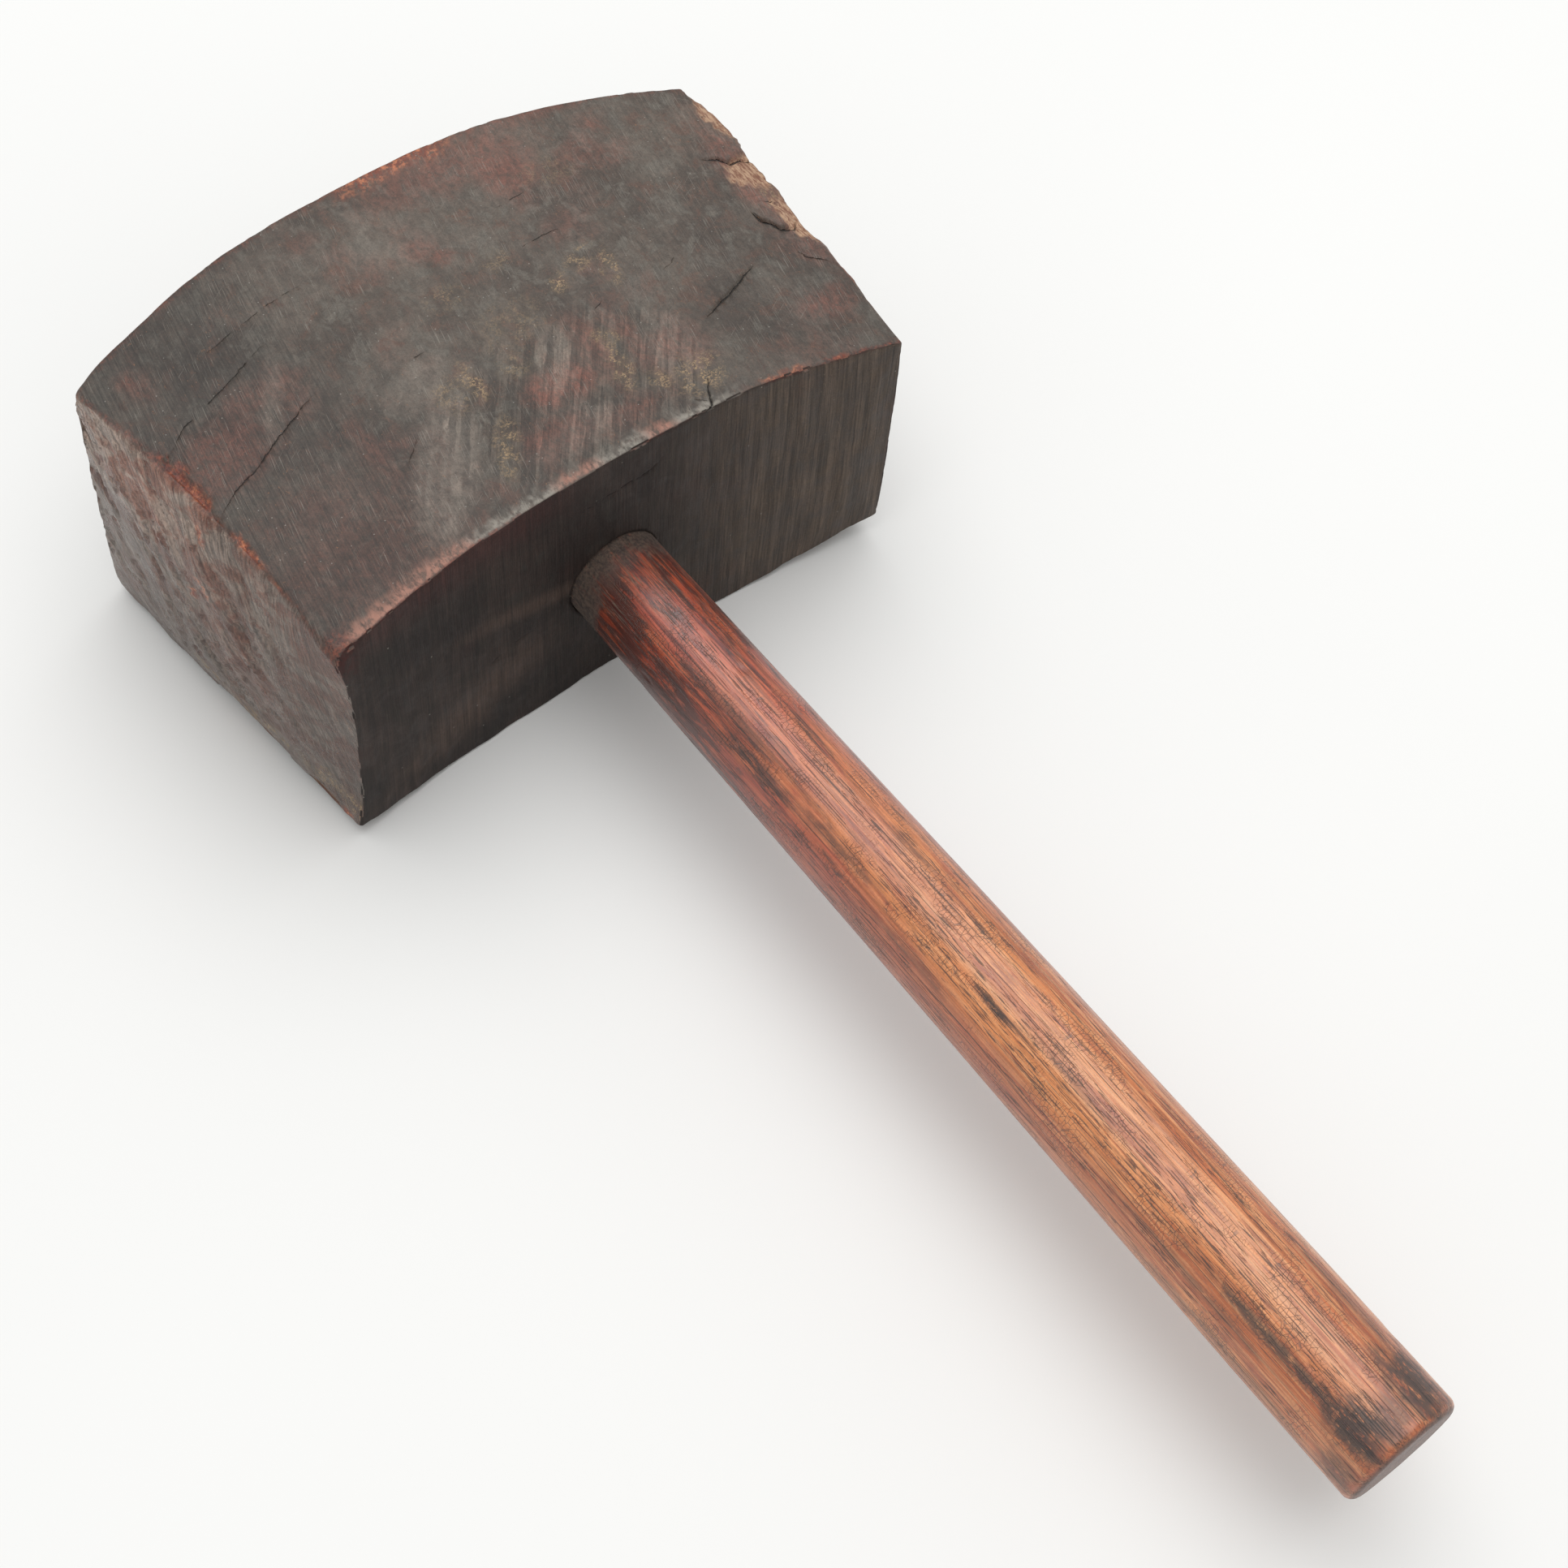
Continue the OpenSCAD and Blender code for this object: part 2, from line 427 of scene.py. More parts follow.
# Dents on the left striking face: (y, z), half length, half width, tilt, depth.
FACE_DENTS = [
    ((9, 66), 8, 1.7, 50, 1.1), ((-18, 76), 8, 1.6, 48, 1.3), ((-29, 66), 9, 1.5, 55, 1.1),
    ((-8, 84), 6, 1.4, 45, 0.9), ((31, 40), 6, 1.9, 60, 0.9), ((-30, 82), 7, 1.8, 50, 1.0),
    ((37, 60), 3.0, 1.2, 60, 1.2), ((30.5, 54.5), 3.0, 1.2, 60, 1.2), ((22, 74), 8, 1.9, 52, 0.9),
    ((2, 76), 9, 1.6, 50, 1.1), ((16, 56), 9, 1.9, 52, 0.9), ((-4, 58), 8, 1.5, 48, 0.9),
    ((24, 34), 8, 2.3, 60, 0.8), ((-16, 50), 8, 2.0, 50, 0.7), ((42, 76), 6, 2.0, 60, 0.7),
    ((42, 44), 6, 2.0, 62, 0.7), ((8, 42), 8, 2.2, 52, 0.7), ((-44, 70), 8, 1.6, 62, 0.6),
]


def dents(places, share):
    """Bruises on both striking faces. The right one has the same set, moved and turned."""
    _, y, z = places.T
    depth = np.zeros(len(places))
    rag = 0.35 * cloud(places, 5, 66, 3)
    for middle, length, width, turn, deep in FACE_DENTS:
        radii = (length, width)
        moved = (middle[1] - 62, middle[0] + 44)
        left = blob(y, z, middle, radii, turn, 0.75, rag) * share["left"]
        right = blob(y, z, moved, radii, turn + 50, 0.75, rag) * share["right"]
        depth = np.maximum(depth, deep * np.maximum(left, 0.8 * right))
    return depth


def tilted(places, degrees):
    """The same points in axes turned about X, so that the second axis slants up along the ends."""
    c, s = math.cos(math.radians(degrees)), math.sin(math.radians(degrees))
    x, y, z = places.T
    return np.stack([x, y * c + z * s, z * c - y * s], -1)


def surface_relief(places, share):
    """Slow hollows, tool marks and small knocks, as a depth in millimetres."""
    x, y, z = places.T
    slow = 0.55 * cloud(places, 55, 70, 2) + 0.22 * cloud(places, 17, 71, 3)
    plane = 0.05 * cloud(places, (2.6, 34, 34), 72, 3)
    lean = places + np.stack([0.10 * z + 1.6 * cloud(places, 26, 77, 2), 0 * x, 0 * x], -1)
    saw = 0.22 * cloud(lean, (2.6, 60, 30), 73, 3)
    saw *= share["under"] * (0.45 + 0.55 * ease(-20, 40, x))
    wave = 0.36 * cloud(places, (13, 90, 40), 74, 2) * share["under"]
    ends = np.maximum(share["left"], share["right"])
    rough_part = 0.25 + 0.75 * ease(-62, -28, y) * ease(6, 36, z) * ease(58, 36, y)
    slanted = tilted(places, 48)
    battered = 0.95 * cloud(slanted, (30, 21, 5.0), 75, 3, 0.45) * ends * rough_part
    crease = 0.85 * ease(0.09, 0.0, np.abs(cloud(slanted, (30, 24, 6.5), 79, 2))) * ends * rough_part
    upright = 0.10 * cloud(tilted(places, 72), (30, 26, 1.9), 69, 3) * ends * ease(-20, -50, y)
    cheeks = np.maximum(share["top"], share["base"])
    middle_part = ease(60, 20, np.abs(x - 5))
    chops = 0.22 * np.clip(cloud(places, (9, 16, 16), 76, 4), -0.2, 1) * cheeks * middle_part
    near_middle = ease(70, 15, np.abs(x - 10))
    pits = 0.35 * ease(0.45, 0.9, cloud(places, (3, 3, 3), 68, 3)) * cheeks * near_middle
    marks = saw + wave + battered + crease + upright + chops + pits
    return slow + plane * (1 - share["under"]) + marks


def arris_nicks(places, direction):
    """Small losses along the arrises, where more than one side meets."""
    corner = 1 - np.max(np.abs(direction), axis=1)
    on_arris = ease(0.0, 0.22, corner)
    nick = ease(0.15, 0.9, cloud(places, 4.5, 78, 3))
    return on_arris, on_arris * nick * 0.9


def subdivided(places, faces):
    """The grid, made finer twice close to the cracks."""
    mesh = bmesh.new()
    verts = [mesh.verts.new(place) for place in places]
    for face in faces:
        mesh.faces.new([verts[i] for i in face])
    for _ in range(2):
        mesh.verts.index_update()
        q = np.array([v.co[:] for v in mesh.verts])
        rounded, direction = worn_box(q)
        near = crack_zone(arch(rounded), face_shares(direction))
        edges = [e for e in mesh.edges if near[e.verts[0].index] and near[e.verts[1].index]]
        bmesh.ops.subdivide_edges(mesh, edges=edges, cuts=1, use_grid_fill=True)
    mesh.verts.ensure_lookup_table()
    mesh.verts.index_update()
    q = np.array([v.co[:] for v in mesh.verts])
    return mesh, q


def line_bore(mesh, shape, q):
    """Joins the hole in the underside to the hole in the crown with the bore's wall."""
    rims = {}
    for edge in mesh.edges:
        if edge.is_boundary:
            for vert in edge.verts:
                key = (round(q[vert.index][0], 3), round(q[vert.index][2], 3))
                rims.setdefault(key, {})[q[vert.index][1] > 0] = vert
    depths = (0.7, 1.6, 4.0, 12.0)
    radii = (-0.25, -0.42, -0.5, -0.52)
    rungs = {}
    for key, pair in rims.items():
        low, high = pair[False], pair[True]
        start, end = Vector(shape[low.index]), Vector(shape[high.index])
        ring = [low]
        outward = Vector((start.x - AXIS_X, 0, start.z - AXIS_Z)).normalized()
        for depth, change in zip(depths, radii):
            spot = Vector((AXIS_X, start.y + depth, AXIS_Z)) + outward * (BORE_R + change)
            ring.append(mesh.verts.new(spot))
        for depth, change in zip(depths[::-1], radii[::-1]):
            spot = Vector((AXIS_X, end.y - depth, AXIS_Z)) + outward * (BORE_R + change)
            ring.append(mesh.verts.new(spot))
        ring.append(high)
        rungs[low] = ring
    walls = []
    for edge in list(mesh.edges):
        if edge.is_boundary and edge.verts[0] in rungs and edge.verts[1] in rungs:
            a, b = rungs[edge.verts[0]], rungs[edge.verts[1]]
            walls.append((a, b))
    for a, b in walls:
        for i in range(len(a) - 1):
            mesh.faces.new((a[i], b[i], b[i + 1], a[i + 1]))


def store(mesh_data, name, values):
    """Saves a mask with the mesh, one value for each vertex, for the materials to read."""
    layer = mesh_data.attributes.new(name, "FLOAT", "POINT")
    layer.data.foreach_set("value", np.ascontiguousarray(values, np.float32))


# Patches of colour on the head: middle, radii, tilt in degrees (where it matters), strength.
RED_ON_CHEEK = [
    ((-84, 0), (13, 11), 0.75), ((-66, 12), (12, 5), 0.6), ((-60, 4), (6, 6), 0.4),
    ((36, 43), (9, 13), 0.7), ((84, -49), (9, 5), 0.7), ((90, -46), (4, 3), 0.5),
    ((38, -41), (7, 9), 0.6), ((-92, 38), (3, 3), 0.8), ((3, -33.5), (10, 6), 0.9),
    ((-8, -48), (10, 6), 0.8), ((12, -52), (10, 4), 0.5), ((18, -28), (4, 14), 0.5),
    ((28, -34), (3, 16), 0.5), ((97, -4), (6, 30), 0.7), ((-2, 30), (5, 5), 0.5),
    ((2, 24), (3, 3), 0.6), ((-90, 34), (4, 5), 0.6), ((60, 57), (26, 4), 0.5),
    ((-52, -24), (3, 14), 0.4), ((20, 52), (24, 8), 0.5), ((-72, -46), (26, 24), 0.35),
]
RED_ON_END = [((-30, 45), (20, 14), 0.9), ((10, 78), (16, 10), 0.7), ((-18, 66), (12, 14), 0.6)]
ORANGE_ON_END = [
    ((-11.5, 85), (3.4, 1.5), 1.0), ((-16, 68), (4.0, 1.3), 1.0), ((-10, 60), (2.4, 1.0), 1.0),
    ((-66, 5), (4, 3), 1.0),
]
PALE_ON_CHEEK = [
    ((-40, -40), (25, 8.0), 52, 0.85), ((-30, -12), (12, 7), 20, 0.5), ((-8, 40), (7, 12), -12, 0.3),
    ((-4, -50), (14, 5), 8, 0.5), ((36, -40), (8, 12), -20, 0.35), ((6, -26), (5, 12), -30, 0.5),
    ((-64, 8), (3, 16), -30, 0.5),
]
DIRT_ON_CHEEK = [
    ((24, -3), (4, 2.4), 20, 1.0), ((34, 1), (5, 3), 30, 0.8), ((39, -6), (2.6, 6), -14, 1.0),
    ((23, -27), (4, 2.6), -40, 1.0), ((20, -37), (2.8, 8), -12, 1.0), ((26, -48), (3, 4), 0, 0.8),
    ((-22, -43), (3, 9), -30, 0.9), ((-17, -19), (2.6, 7), 0, 0.9), ((-24, -20), (4, 6), 0, 0.5),
    ((36, -52), (7, 6), 0, 1.0), ((-4, -20), (5, 4), 0, 0.5), ((4, -8), (10, 8), 0, 0.3),
    ((46, 34), (8, 5), 0, 0.3), ((-6, 10), (6, 4), 0, 0.4), ((14, 14), (5, 3), 0, 0.4),
    ((99, -2), (3, 8), 0, 0.6),
]
DIRT_ON_END = [
    ((-8, 17), (9, 3.5), 0, 1.0), ((-24, 16), (13, 4), 0, 1.0), ((-38, 19), (7, 3), 20, 1.0),
    ((-56, 17), (9, 5), 0, 1.0), ((-68, 14), (5, 5), 0, 1.0),
]


def patches(u, v, rows, soft, ragged, turn=0):
    """The strongest of several soft ellipses at each point."""
    field = np.zeros(len(u))
    for middle, radii, *tilt, strength in rows:
        angle = tilt[0] if tilt else turn
        field = np.maximum(field, strength * blob(u, v, middle, radii, angle, soft, ragged))
    return field


def most(*fields):
    """The highest of several masks at each point."""
    return np.maximum.reduce(np.broadcast_arrays(*fields))


def warm_masks(p, share, on_arris, ledge, edges, rag, fine):
    """Where the dark surface is worn to red, to dark red-brown and to orange wood."""
    x, y, z = p.T
    top, left = share["top"], share["left"]
    edge_crown, edge_under, edge_left = edges
    red = most(
        0.40 * ease(0.2, 0.8, cloud(p, (30, 22, 26), 83, 4)),
        top * patches(x, y, RED_ON_CHEEK, 0.7, rag),
        left * patches(y, z, RED_ON_END, 0.6, rag, 30),
    )
    wear = ease(-0.25, 0.7, cloud(p, (14, 10, 14), 84, 4))
    ledge_rim = ease(3.0, 0.8, edge_left + 1.8 * fine) * ease(36, 16, y) * ease(-8, 4, y)
    ember = most(
        0.75 * on_arris * wear,
        ledge,
        0.7 * top * ledge_rim,
        0.45 * top * ease(2.2, 0.4, edge_left + 1.2 * fine),
        0.45 * top * ease(3.0, 0.6, edge_crown + 1.2 * fine),
        0.8 * blob(x, y, (-94.5, -70), (5, 6), 0, 0.4, rag) * ease(70, 94, z),
        top * ease(1.1, 0.5, edge_under + 0.5 * fine) * ease(-20, -44, x),
        top * ease(1.8, 0.4, edge_under + fine) * ease(60, 70, x),
    )
    crown_rim = ease(7.5, 1.2, edge_crown + 3.0 * fine) * blob(x, y, (10, 60), (19, 14), 0, 0.5, rag)
    hot_left = ease(3.4, 1.6, edge_left + 1.5 * fine) * blob(y, x, (-29, -97), (6, 9), 0, 0.4, rag)
    hot_ledge = blob(y, x, (-4, -98), (11, 5), 0, 0.6, 1.4 * rag + 0.4 * fine)
    hot_front = ease(2.0, 0.5, edge_left + fine) * blob(y, x, (-44, -96), (5, 9), 0, 0.3, rag)
    rim_red = ease(3.0, 0.6, edge_under + 1.4 * fine) * blob(x, y, (56, -63), (7, 9), 0, 0.4, rag)
    rim_spot = ease(1.8, 0.5, edge_under + fine) * blob(x, y, (75, -66), (2.5, 5), 0, 0.3, rag)
    orange = most(
        0.8 * top * crown_rim,
        0.85 * top * hot_left,
        0.55 * ledge * hot_ledge,
        0.4 * top * hot_front,
        0.6 * top * rim_red,
        top * rim_spot,
        left * patches(y, z, ORANGE_ON_END, 0.3, rag, 45),
        0.7 * share["right"] * wear * on_arris,
    )
    return {"red": red, "ember": ember, "orange": orange}


def pale_masks(p, share, edges, rag, fine):
    """Where the cheek is polished, dusty along its rim, or holds light dirt."""
    x, y, z = p.T
    top, left = share["top"], share["left"]
    edge_under = edges[1]
    wide = 5.2 + 2.6 * ease(-46, -60, x) * ease(-98, -88, x)
    dust = top * ease(wide, 0.2 * wide, edge_under + 2.8 * fine + 3.0 * rag) * ease(46, 30, x)
    dust *= ease(0.1, 1.0, edge_under) * ease(-97, -90, x)
    pink = most(
        ease(-44, -52, x + 8 * rag),
        blob(x, x, (-12, -12), (9, 9), 0, 0.5, rag),
        blob(x, x, (16, 16), (6, 6), 0, 0.5, rag),
    )
    dirt = most(
        top * patches(x, y, DIRT_ON_CHEEK, 0.6, rag),
        left * patches(y, z, DIRT_ON_END, 0.5, rag),
    )
    return {
        "pale": top * patches(x, y, PALE_ON_CHEEK, 0.30, 0.5 * rag),
        "dust": dust, "pink": pink, "tan": dirt,
    }


def tone_masks(p, share, rag):
    """Slow changes of tone, painted sheen and painted light, and where each kind of tool mark lies."""
    x, y, z = p.T
    top, under = share["top"], share["under"]
    # Tone: darker towards the left end of the upper cheek, and lighter in a wide painted pool of light over
    # its right-hand part.
    painted_light_patch = blob(x, y, (44, 32), (72, 44), 0, 0.8, rag)
    tone = 0.5 + 0.30 * ease(-30, -90, x) * top - 0.40 * painted_light_patch * top
    reeds = np.maximum(ease(-34, -56, x), 0.45 * ease(30, 70, x)) * (0.6 + 0.4 * ease(-0.3, 0.3, rag))
    smear_near = blob(x, z, (-30, 54), (22, 3.0), -14, 0.8, 0.4 * rag)
    smear_far = blob(x, z, (-52, 24), (26, 8), 20, 0.9, rag)
    saw = under * np.maximum(ease(5, 45, x), 0.7 + 0.5 * rag)
    return {
        "tone": np.clip(tone, 0, 1),
        "reeds": top * reeds,
        "slashes": top * blob(x, y, (4, -40), (34, 26), 0, 0.3, rag),
        "saw": np.clip(saw, 0, 1),
        "smear": under * np.maximum(smear_near, smear_far),
        "brown": under * ease(5, 60, x + 14 * rag),
        "low_red": under * ease(80, 96, z + 4 * rag) * ease(-6, -34, x),
        # Painted sheen and shade on the striking faces: the first mask below lightens them towards the top
        # and darkens them lower down, the second adds a stronger painted sheen in their upper part near the
        # crown.
        "painted_sheen_gradient": 0.25 + 0.5 * ease(-20, 110, z + 0.35 * y + 10 * rag),
        "painted_upper_sheen": ease(44, 84, z) * ease(-34, 10, y),
        "front": ease(-30, -52, y),
        "ends": np.maximum(share["left"], share["right"]),
    }


def head_colour_masks(p, share, on_arris, cracks, losses, q):
    """Masks from 0 to 1 that the head's materials mix their colours with."""
    rag = 0.35 * cloud(p, 7, 80, 4)
    fine = cloud(p, 2.4, 81, 4)
    edges = (HALF[1] - q[:, 1], q[:, 1] + HALF[1], q[:, 0] + HALF[0])
    distance, strength = cracks
    bare, low_chip, ledge = losses
    masks = {"crack_gap": distance, "crack": strength, "bare": np.clip(bare + 0.5 * low_chip, 0, 1)}
    masks.update(warm_masks(p, share, on_arris, ledge, edges, rag, fine))
    masks.update(pale_masks(p, share, edges, rag, fine))
    masks.update(tone_masks(p, share, rag))
    return masks


EVEN_WEAR = 0.10  # taken off everywhere, so that raised grain still stays inside the solid
BORE_RIM, BORE_RIM_WEAR = 0.4, 0.6  # width and depth of the lip round the bore
SIDE_MARGIN, END_MARGIN = 0.02, 0.05  # least distance kept inside the solid's box


def build_head():
    places, faces = box_grid()
    mesh, q = subdivided(places, faces)
    q = round_bore_square(q)
    rounded, direction = worn_box(q)
    share = face_shares(direction)
    flat = arch(rounded)
    on_arris, nicks = arris_nicks(flat, direction)
    cut, distance, strength = all_cracks(flat, share)
    chip, bare, low_chip, ledge = chips(flat, share)
    relief = surface_relief(flat, share)
    depth = relief + nicks + cut + chip + dents(flat, share) - flakes(flat, share)
    depth += EVEN_WEAR
    rim = np.hypot(flat[:, 0] - AXIS_X, flat[:, 2] - AXIS_Z) < BORE_R + BORE_RIM
    depth = np.where(rim & (np.abs(direction[:, 1]) > 0.9), BORE_RIM_WEAR, depth)
    shape = arch(rounded - direction * depth[:, None])
    shape[:, 2] = np.clip(shape[:, 2], SIDE_MARGIN, THICKNESS - SIDE_MARGIN)
    shape[:, 0] = np.clip(shape[:, 0], head_low[0] + END_MARGIN, head_high[0] - END_MARGIN)
    shape[:, 1] = np.clip(shape[:, 1], head_low[1] + SIDE_MARGIN, head_high[1] - SIDE_MARGIN)
    masks = head_colour_masks(flat, share, on_arris, (distance, strength), (bare, low_chip, ledge), q)
    for vert, place in zip(mesh.verts, shape):
        vert.co = place
    line_bore(mesh, shape, q)
    bmesh.ops.recalc_face_normals(mesh, faces=mesh.faces)
    mesh.verts.index_update()
    inside = len(mesh.verts) - len(shape)
    data = bpy.data.meshes.new("head_worn")
    mesh.to_mesh(data)
    mesh.free()
    # The bore's wall, seen only through the gap round the handle, takes full crack strength, so the patina
    # paints it with the near-black crack shade.
    bore_painted_shade = {"crack": 1.0}
    for name, values in masks.items():
        store(data, name, np.concatenate([values, np.full(inside, bore_painted_shade.get(name, 0.0))]))
    data.transform(Matrix.Scale(MM, 4))
    data.shade_smooth()
    piece = add_object("head_worn", data)
    return piece


# ---------------------------------------------------------------- the handle's shape

HANDLE_SIDES = 144
HANDLE_STEP = 1.15


def handle_profile():
    """Stations (y, radius) from the tenon's end to the middle of the butt's face."""
    top = handle_high[1]
    grip_start = BUTT_Y + BUTT_ROUND + GRIP_LEN
    tenon = [(y, TENON_R) for y in np.linspace(top, UNDER_Y + 4, 16)]
    visible = []
    for y in np.arange(UNDER_Y + 3, BUTT_Y + BUTT_ROUND, -HANDLE_STEP):
        share = np.clip((UNDER_Y - y) / (UNDER_Y - grip_start), 0, 1)
        visible.append((y, TENON_R + (GRIP_R - TENON_R) * share))
    butt = []
    for angle in np.radians(np.linspace(0, 90, 9)):
        y = BUTT_Y + BUTT_ROUND * (1 - math.sin(angle))
        butt.append((y, GRIP_R - BUTT_ROUND * (1 - math.cos(angle))))
    face = [(BUTT_Y, r) for r in np.linspace(GRIP_R - BUTT_ROUND, 0, 12)[1:]]
    cap = [(top, r) for r in np.linspace(0, TENON_R, 12)]
    return cap[:-1] + tenon + visible + butt + face


def handle_relief(y, angle):
    """Depth of the hand-shaped surface: long shallow flats, knocks and worn-out pores."""
    ring = np.stack([np.cos(angle), y * 0, np.sin(angle)], -1) * 17.0
    places = ring + np.stack([y * 0, y, y * 0], -1)
    flats = 0.10 * cloud(places, (9, 95, 9), 100, 2)
    fine = 0.035 * cloud(places, (2.2, 26, 2.2), 101, 3)
    knocks = 0.30 * ease(0.6, 1.0, cloud(places, (6, 9, 6), 102, 3))
    return flats + fine + knocks + 0.10, places


def build_handle():
    profile = np.array(handle_profile())
    angles = np.arange(HANDLE_SIDES) * 2 * math.pi / HANDLE_SIDES
    y = np.repeat(profile[:, 0], HANDLE_SIDES)
    r = np.repeat(profile[:, 1], HANDLE_SIDES)
    a = np.tile(angles, len(profile))
    depth, places = handle_relief(y, a)
    side = ease(TENON_R * 0.9, TENON_R * 0.97, r)
    shown = ease(UNDER_Y + 1.5, UNDER_Y - 3, y) * ease(BUTT_Y, BUTT_Y + 4, y)
    butt = ease(BUTT_Y + 5, BUTT_Y + 1, y)
    knock = butt * 0.35 * np.clip(cloud(places, 5, 104, 3), 0, 1)
    r2 = np.maximum(r - side * (depth * shown + knock * ease(0, 6, r)), 0)
    dome = 0.5 * (1 - (r / GRIP_R) ** 2) + 0.15 * cloud(places * 0.5, 4, 105, 3)
    y2 = y + butt * np.where(r < GRIP_R - BUTT_ROUND * 0.4, 0.05 + np.clip(dome, 0, 1) * 0.3, 0.05)
    verts = np.stack([AXIS_X + r2 * np.cos(a), y2, AXIS_Z + r2 * np.sin(a)], -1)
    rings, n = len(profile), HANDLE_SIDES
    mesh = bmesh.new()
    centre_a = mesh.verts.new((AXIS_X, profile[0, 0], AXIS_Z))
    rows = []
    for i in range(1, rings - 1):
        rows.append([mesh.verts.new(verts[i * n + j]) for j in range(n)])
    centre_b = mesh.verts.new((AXIS_X, verts[-1, 1], AXIS_Z))
    for j in range(n):
        k = (j + 1) % n
        mesh.faces.new((centre_a, rows[0][j], rows[0][k]))
        for low, high in zip(rows[:-1], rows[1:]):
            mesh.faces.new((low[j], high[j], high[k], low[k]))
        mesh.faces.new((rows[-1][j], centre_b, rows[-1][k]))
    bmesh.ops.recalc_face_normals(mesh, faces=mesh.faces)
    data = bpy.data.meshes.new("handle_worn")
    mesh.to_mesh(data)
    mesh.free()
    data.transform(Matrix.Scale(MM, 4))
    piece = add_object("handle_worn", data)
    cut_kerf(piece)
    piece.data.shade_smooth()
    add_handle_masks(piece.data)
    return piece


WEDGE_TIP = 1.5
KERF_SPARE = 5.0


def slip_mesh(name, depth, top_spare, grow):
    """A tapered slip across the tenon, from the crown down to depth."""
    wide = (wedge_high[0] - wedge_low[0]) / 2
    length = wedge_high[1] - wedge_low[1]
    slope = (wide - WEDGE_TIP / 2) / length
    tip = wide - slope * depth
    top_y = wedge_high[1]
    reach = TENON_R + grow
    corners = []
    for y, half in ((top_y + top_spare, wide + slope * top_spare), (top_y - depth, tip)):
        for sx in (-1, 1):
            for sz in (-1, 1):
                corners.append((AXIS_X + sx * half, y, AXIS_Z + sz * reach))
    faces = [(0, 1, 3, 2), (4, 6, 7, 5), (0, 4, 5, 1), (2, 3, 7, 6), (0, 2, 6, 4), (1, 5, 7, 3)]
    data = bpy.data.meshes.new(name)
    data.from_pydata([Vector(c) * MM for c in corners], [], faces)
    data.update()
    return data


def cut_kerf(piece):
    """Saws the slot for the wedge across the tenon's end."""
    depth = wedge_high[1] - wedge_low[1] + KERF_SPARE
    saw = add_object("saw", slip_mesh("saw", depth, 2.0, 3.0))
    cut = piece.modifiers.new("kerf", "BOOLEAN")
    cut.operation = "DIFFERENCE"
    cut.solver = "EXACT"
    cut.object = saw
    graph = bpy.context.evaluated_depsgraph_get()
    result = bpy.data.meshes.new_from_object(piece.evaluated_get(graph))
    piece.modifiers.clear()
    old = piece.data
    piece.data = result
    bpy.data.meshes.remove(old)
    bpy.data.objects.remove(saw)


# Stains on the handle: (distance from the butt, degrees round from the top), radii, strength.
HANDLE_STAINS = [
    ((11, 38), (10, 17), 1.0), ((10, -28), (10, 20), 1.0), ((8, 15), (6, 8), 0.7),
    ((6, 80), (7, 18), 0.7), ((34, 42), (30, 5), 0.9), ((7, 5), (5, 9), 0.6),
    ((46, 88), (30, 6), 0.5), ((148, 30), (6, 3.0), 1.0), ((60, 60), (26, 4), 0.5),
    ((30, -35), (22, 6), 0.5), ((195, -14), (9, 3.5), 0.6), ((240, -20), (8, 3), 0.5),
    ((210, 40), (14, 5), 0.6), ((240, 46), (18, 6), 0.6), ((12, 150), (9, 30), 0.8),
    ((40, 190), (20, 10), 0.6), ((176, 58), (20, 4), 0.5), ((255, 30), (12, 5), 0.6),
    ((120, 22), (16, 2.6), 0.5),
]


def add_handle_masks(data):
    """Masks from 0 to 1 for the handle's soil, stains and wear."""
    p = np.empty(len(data.vertices) * 3)
    data.vertices.foreach_get("co", p)
    p = p.reshape(-1, 3) / MM
    x, y, z = p.T
    angle = np.degrees(np.arctan2(-(x - AXIS_X), z - AXIS_Z))
    rag = cloud(p, (4, 10, 4), 110, 4)
    fine = cloud(p, (2, 3, 2), 111, 3)
    from_head = UNDER_Y - y
    from_butt = y - BUTT_Y
    grime = ease(13.0, 2.0, from_head + 3.0 * fine + 2.4 * rag)
    grime = np.maximum(grime, ease(13, 9, from_head + 2.2 * fine) * ease(50, 62, angle + 8 * fine))
    reach = from_head - 40 * ease(30, 70, angle) - 20 * ease(-20, -60, angle)
    head_dark = ease(190, 35, reach + 20 * rag)
    soot = ease(56, 8, reach + 10 * rag) * np.maximum(0.62, ease(12, 40, angle))
    soot = np.maximum(soot, 0.45 * ease(120, 60, from_head + 20 * rag) * ease(15, 40, angle))
    sides = np.maximum(ease(35, 75, angle), ease(-25, -70, angle))
    side_red = sides * ease(330, 200, from_head + 40 * rag)
    side_red = np.maximum(side_red, 0.5 * ease(48, 12, from_butt + 10 * rag))
    dusty_pores = ease(34, 8, from_head + 8 * rag) * ease(20, -30, np.abs(angle) - 60)
    stain = patches(from_butt, angle, HANDLE_STAINS, 0.55, 0.5 * rag + 0.35 * fine)
    worn = ease(5.0, 1.5, from_butt + 1.2 * fine) * ease(-0.4, 0.5, rag)
    end_grain = np.maximum(ease(1.4, 0.6, from_butt), ease(CROWN_Y - 2.5, CROWN_Y - 1.0, y))
    for name, values in {
        "grime": grime, "head_dark": head_dark, "stain": stain, "worn": worn, "side_red": side_red,
        "dusty_pores": dusty_pores, "end_grain": end_grain, "soot": soot,
    }.items():
        store(data, name, values)


# ---------------------------------------------------------------- the wedge

SQUEEZE = 0.02  # how much thinner the slip is than its slot


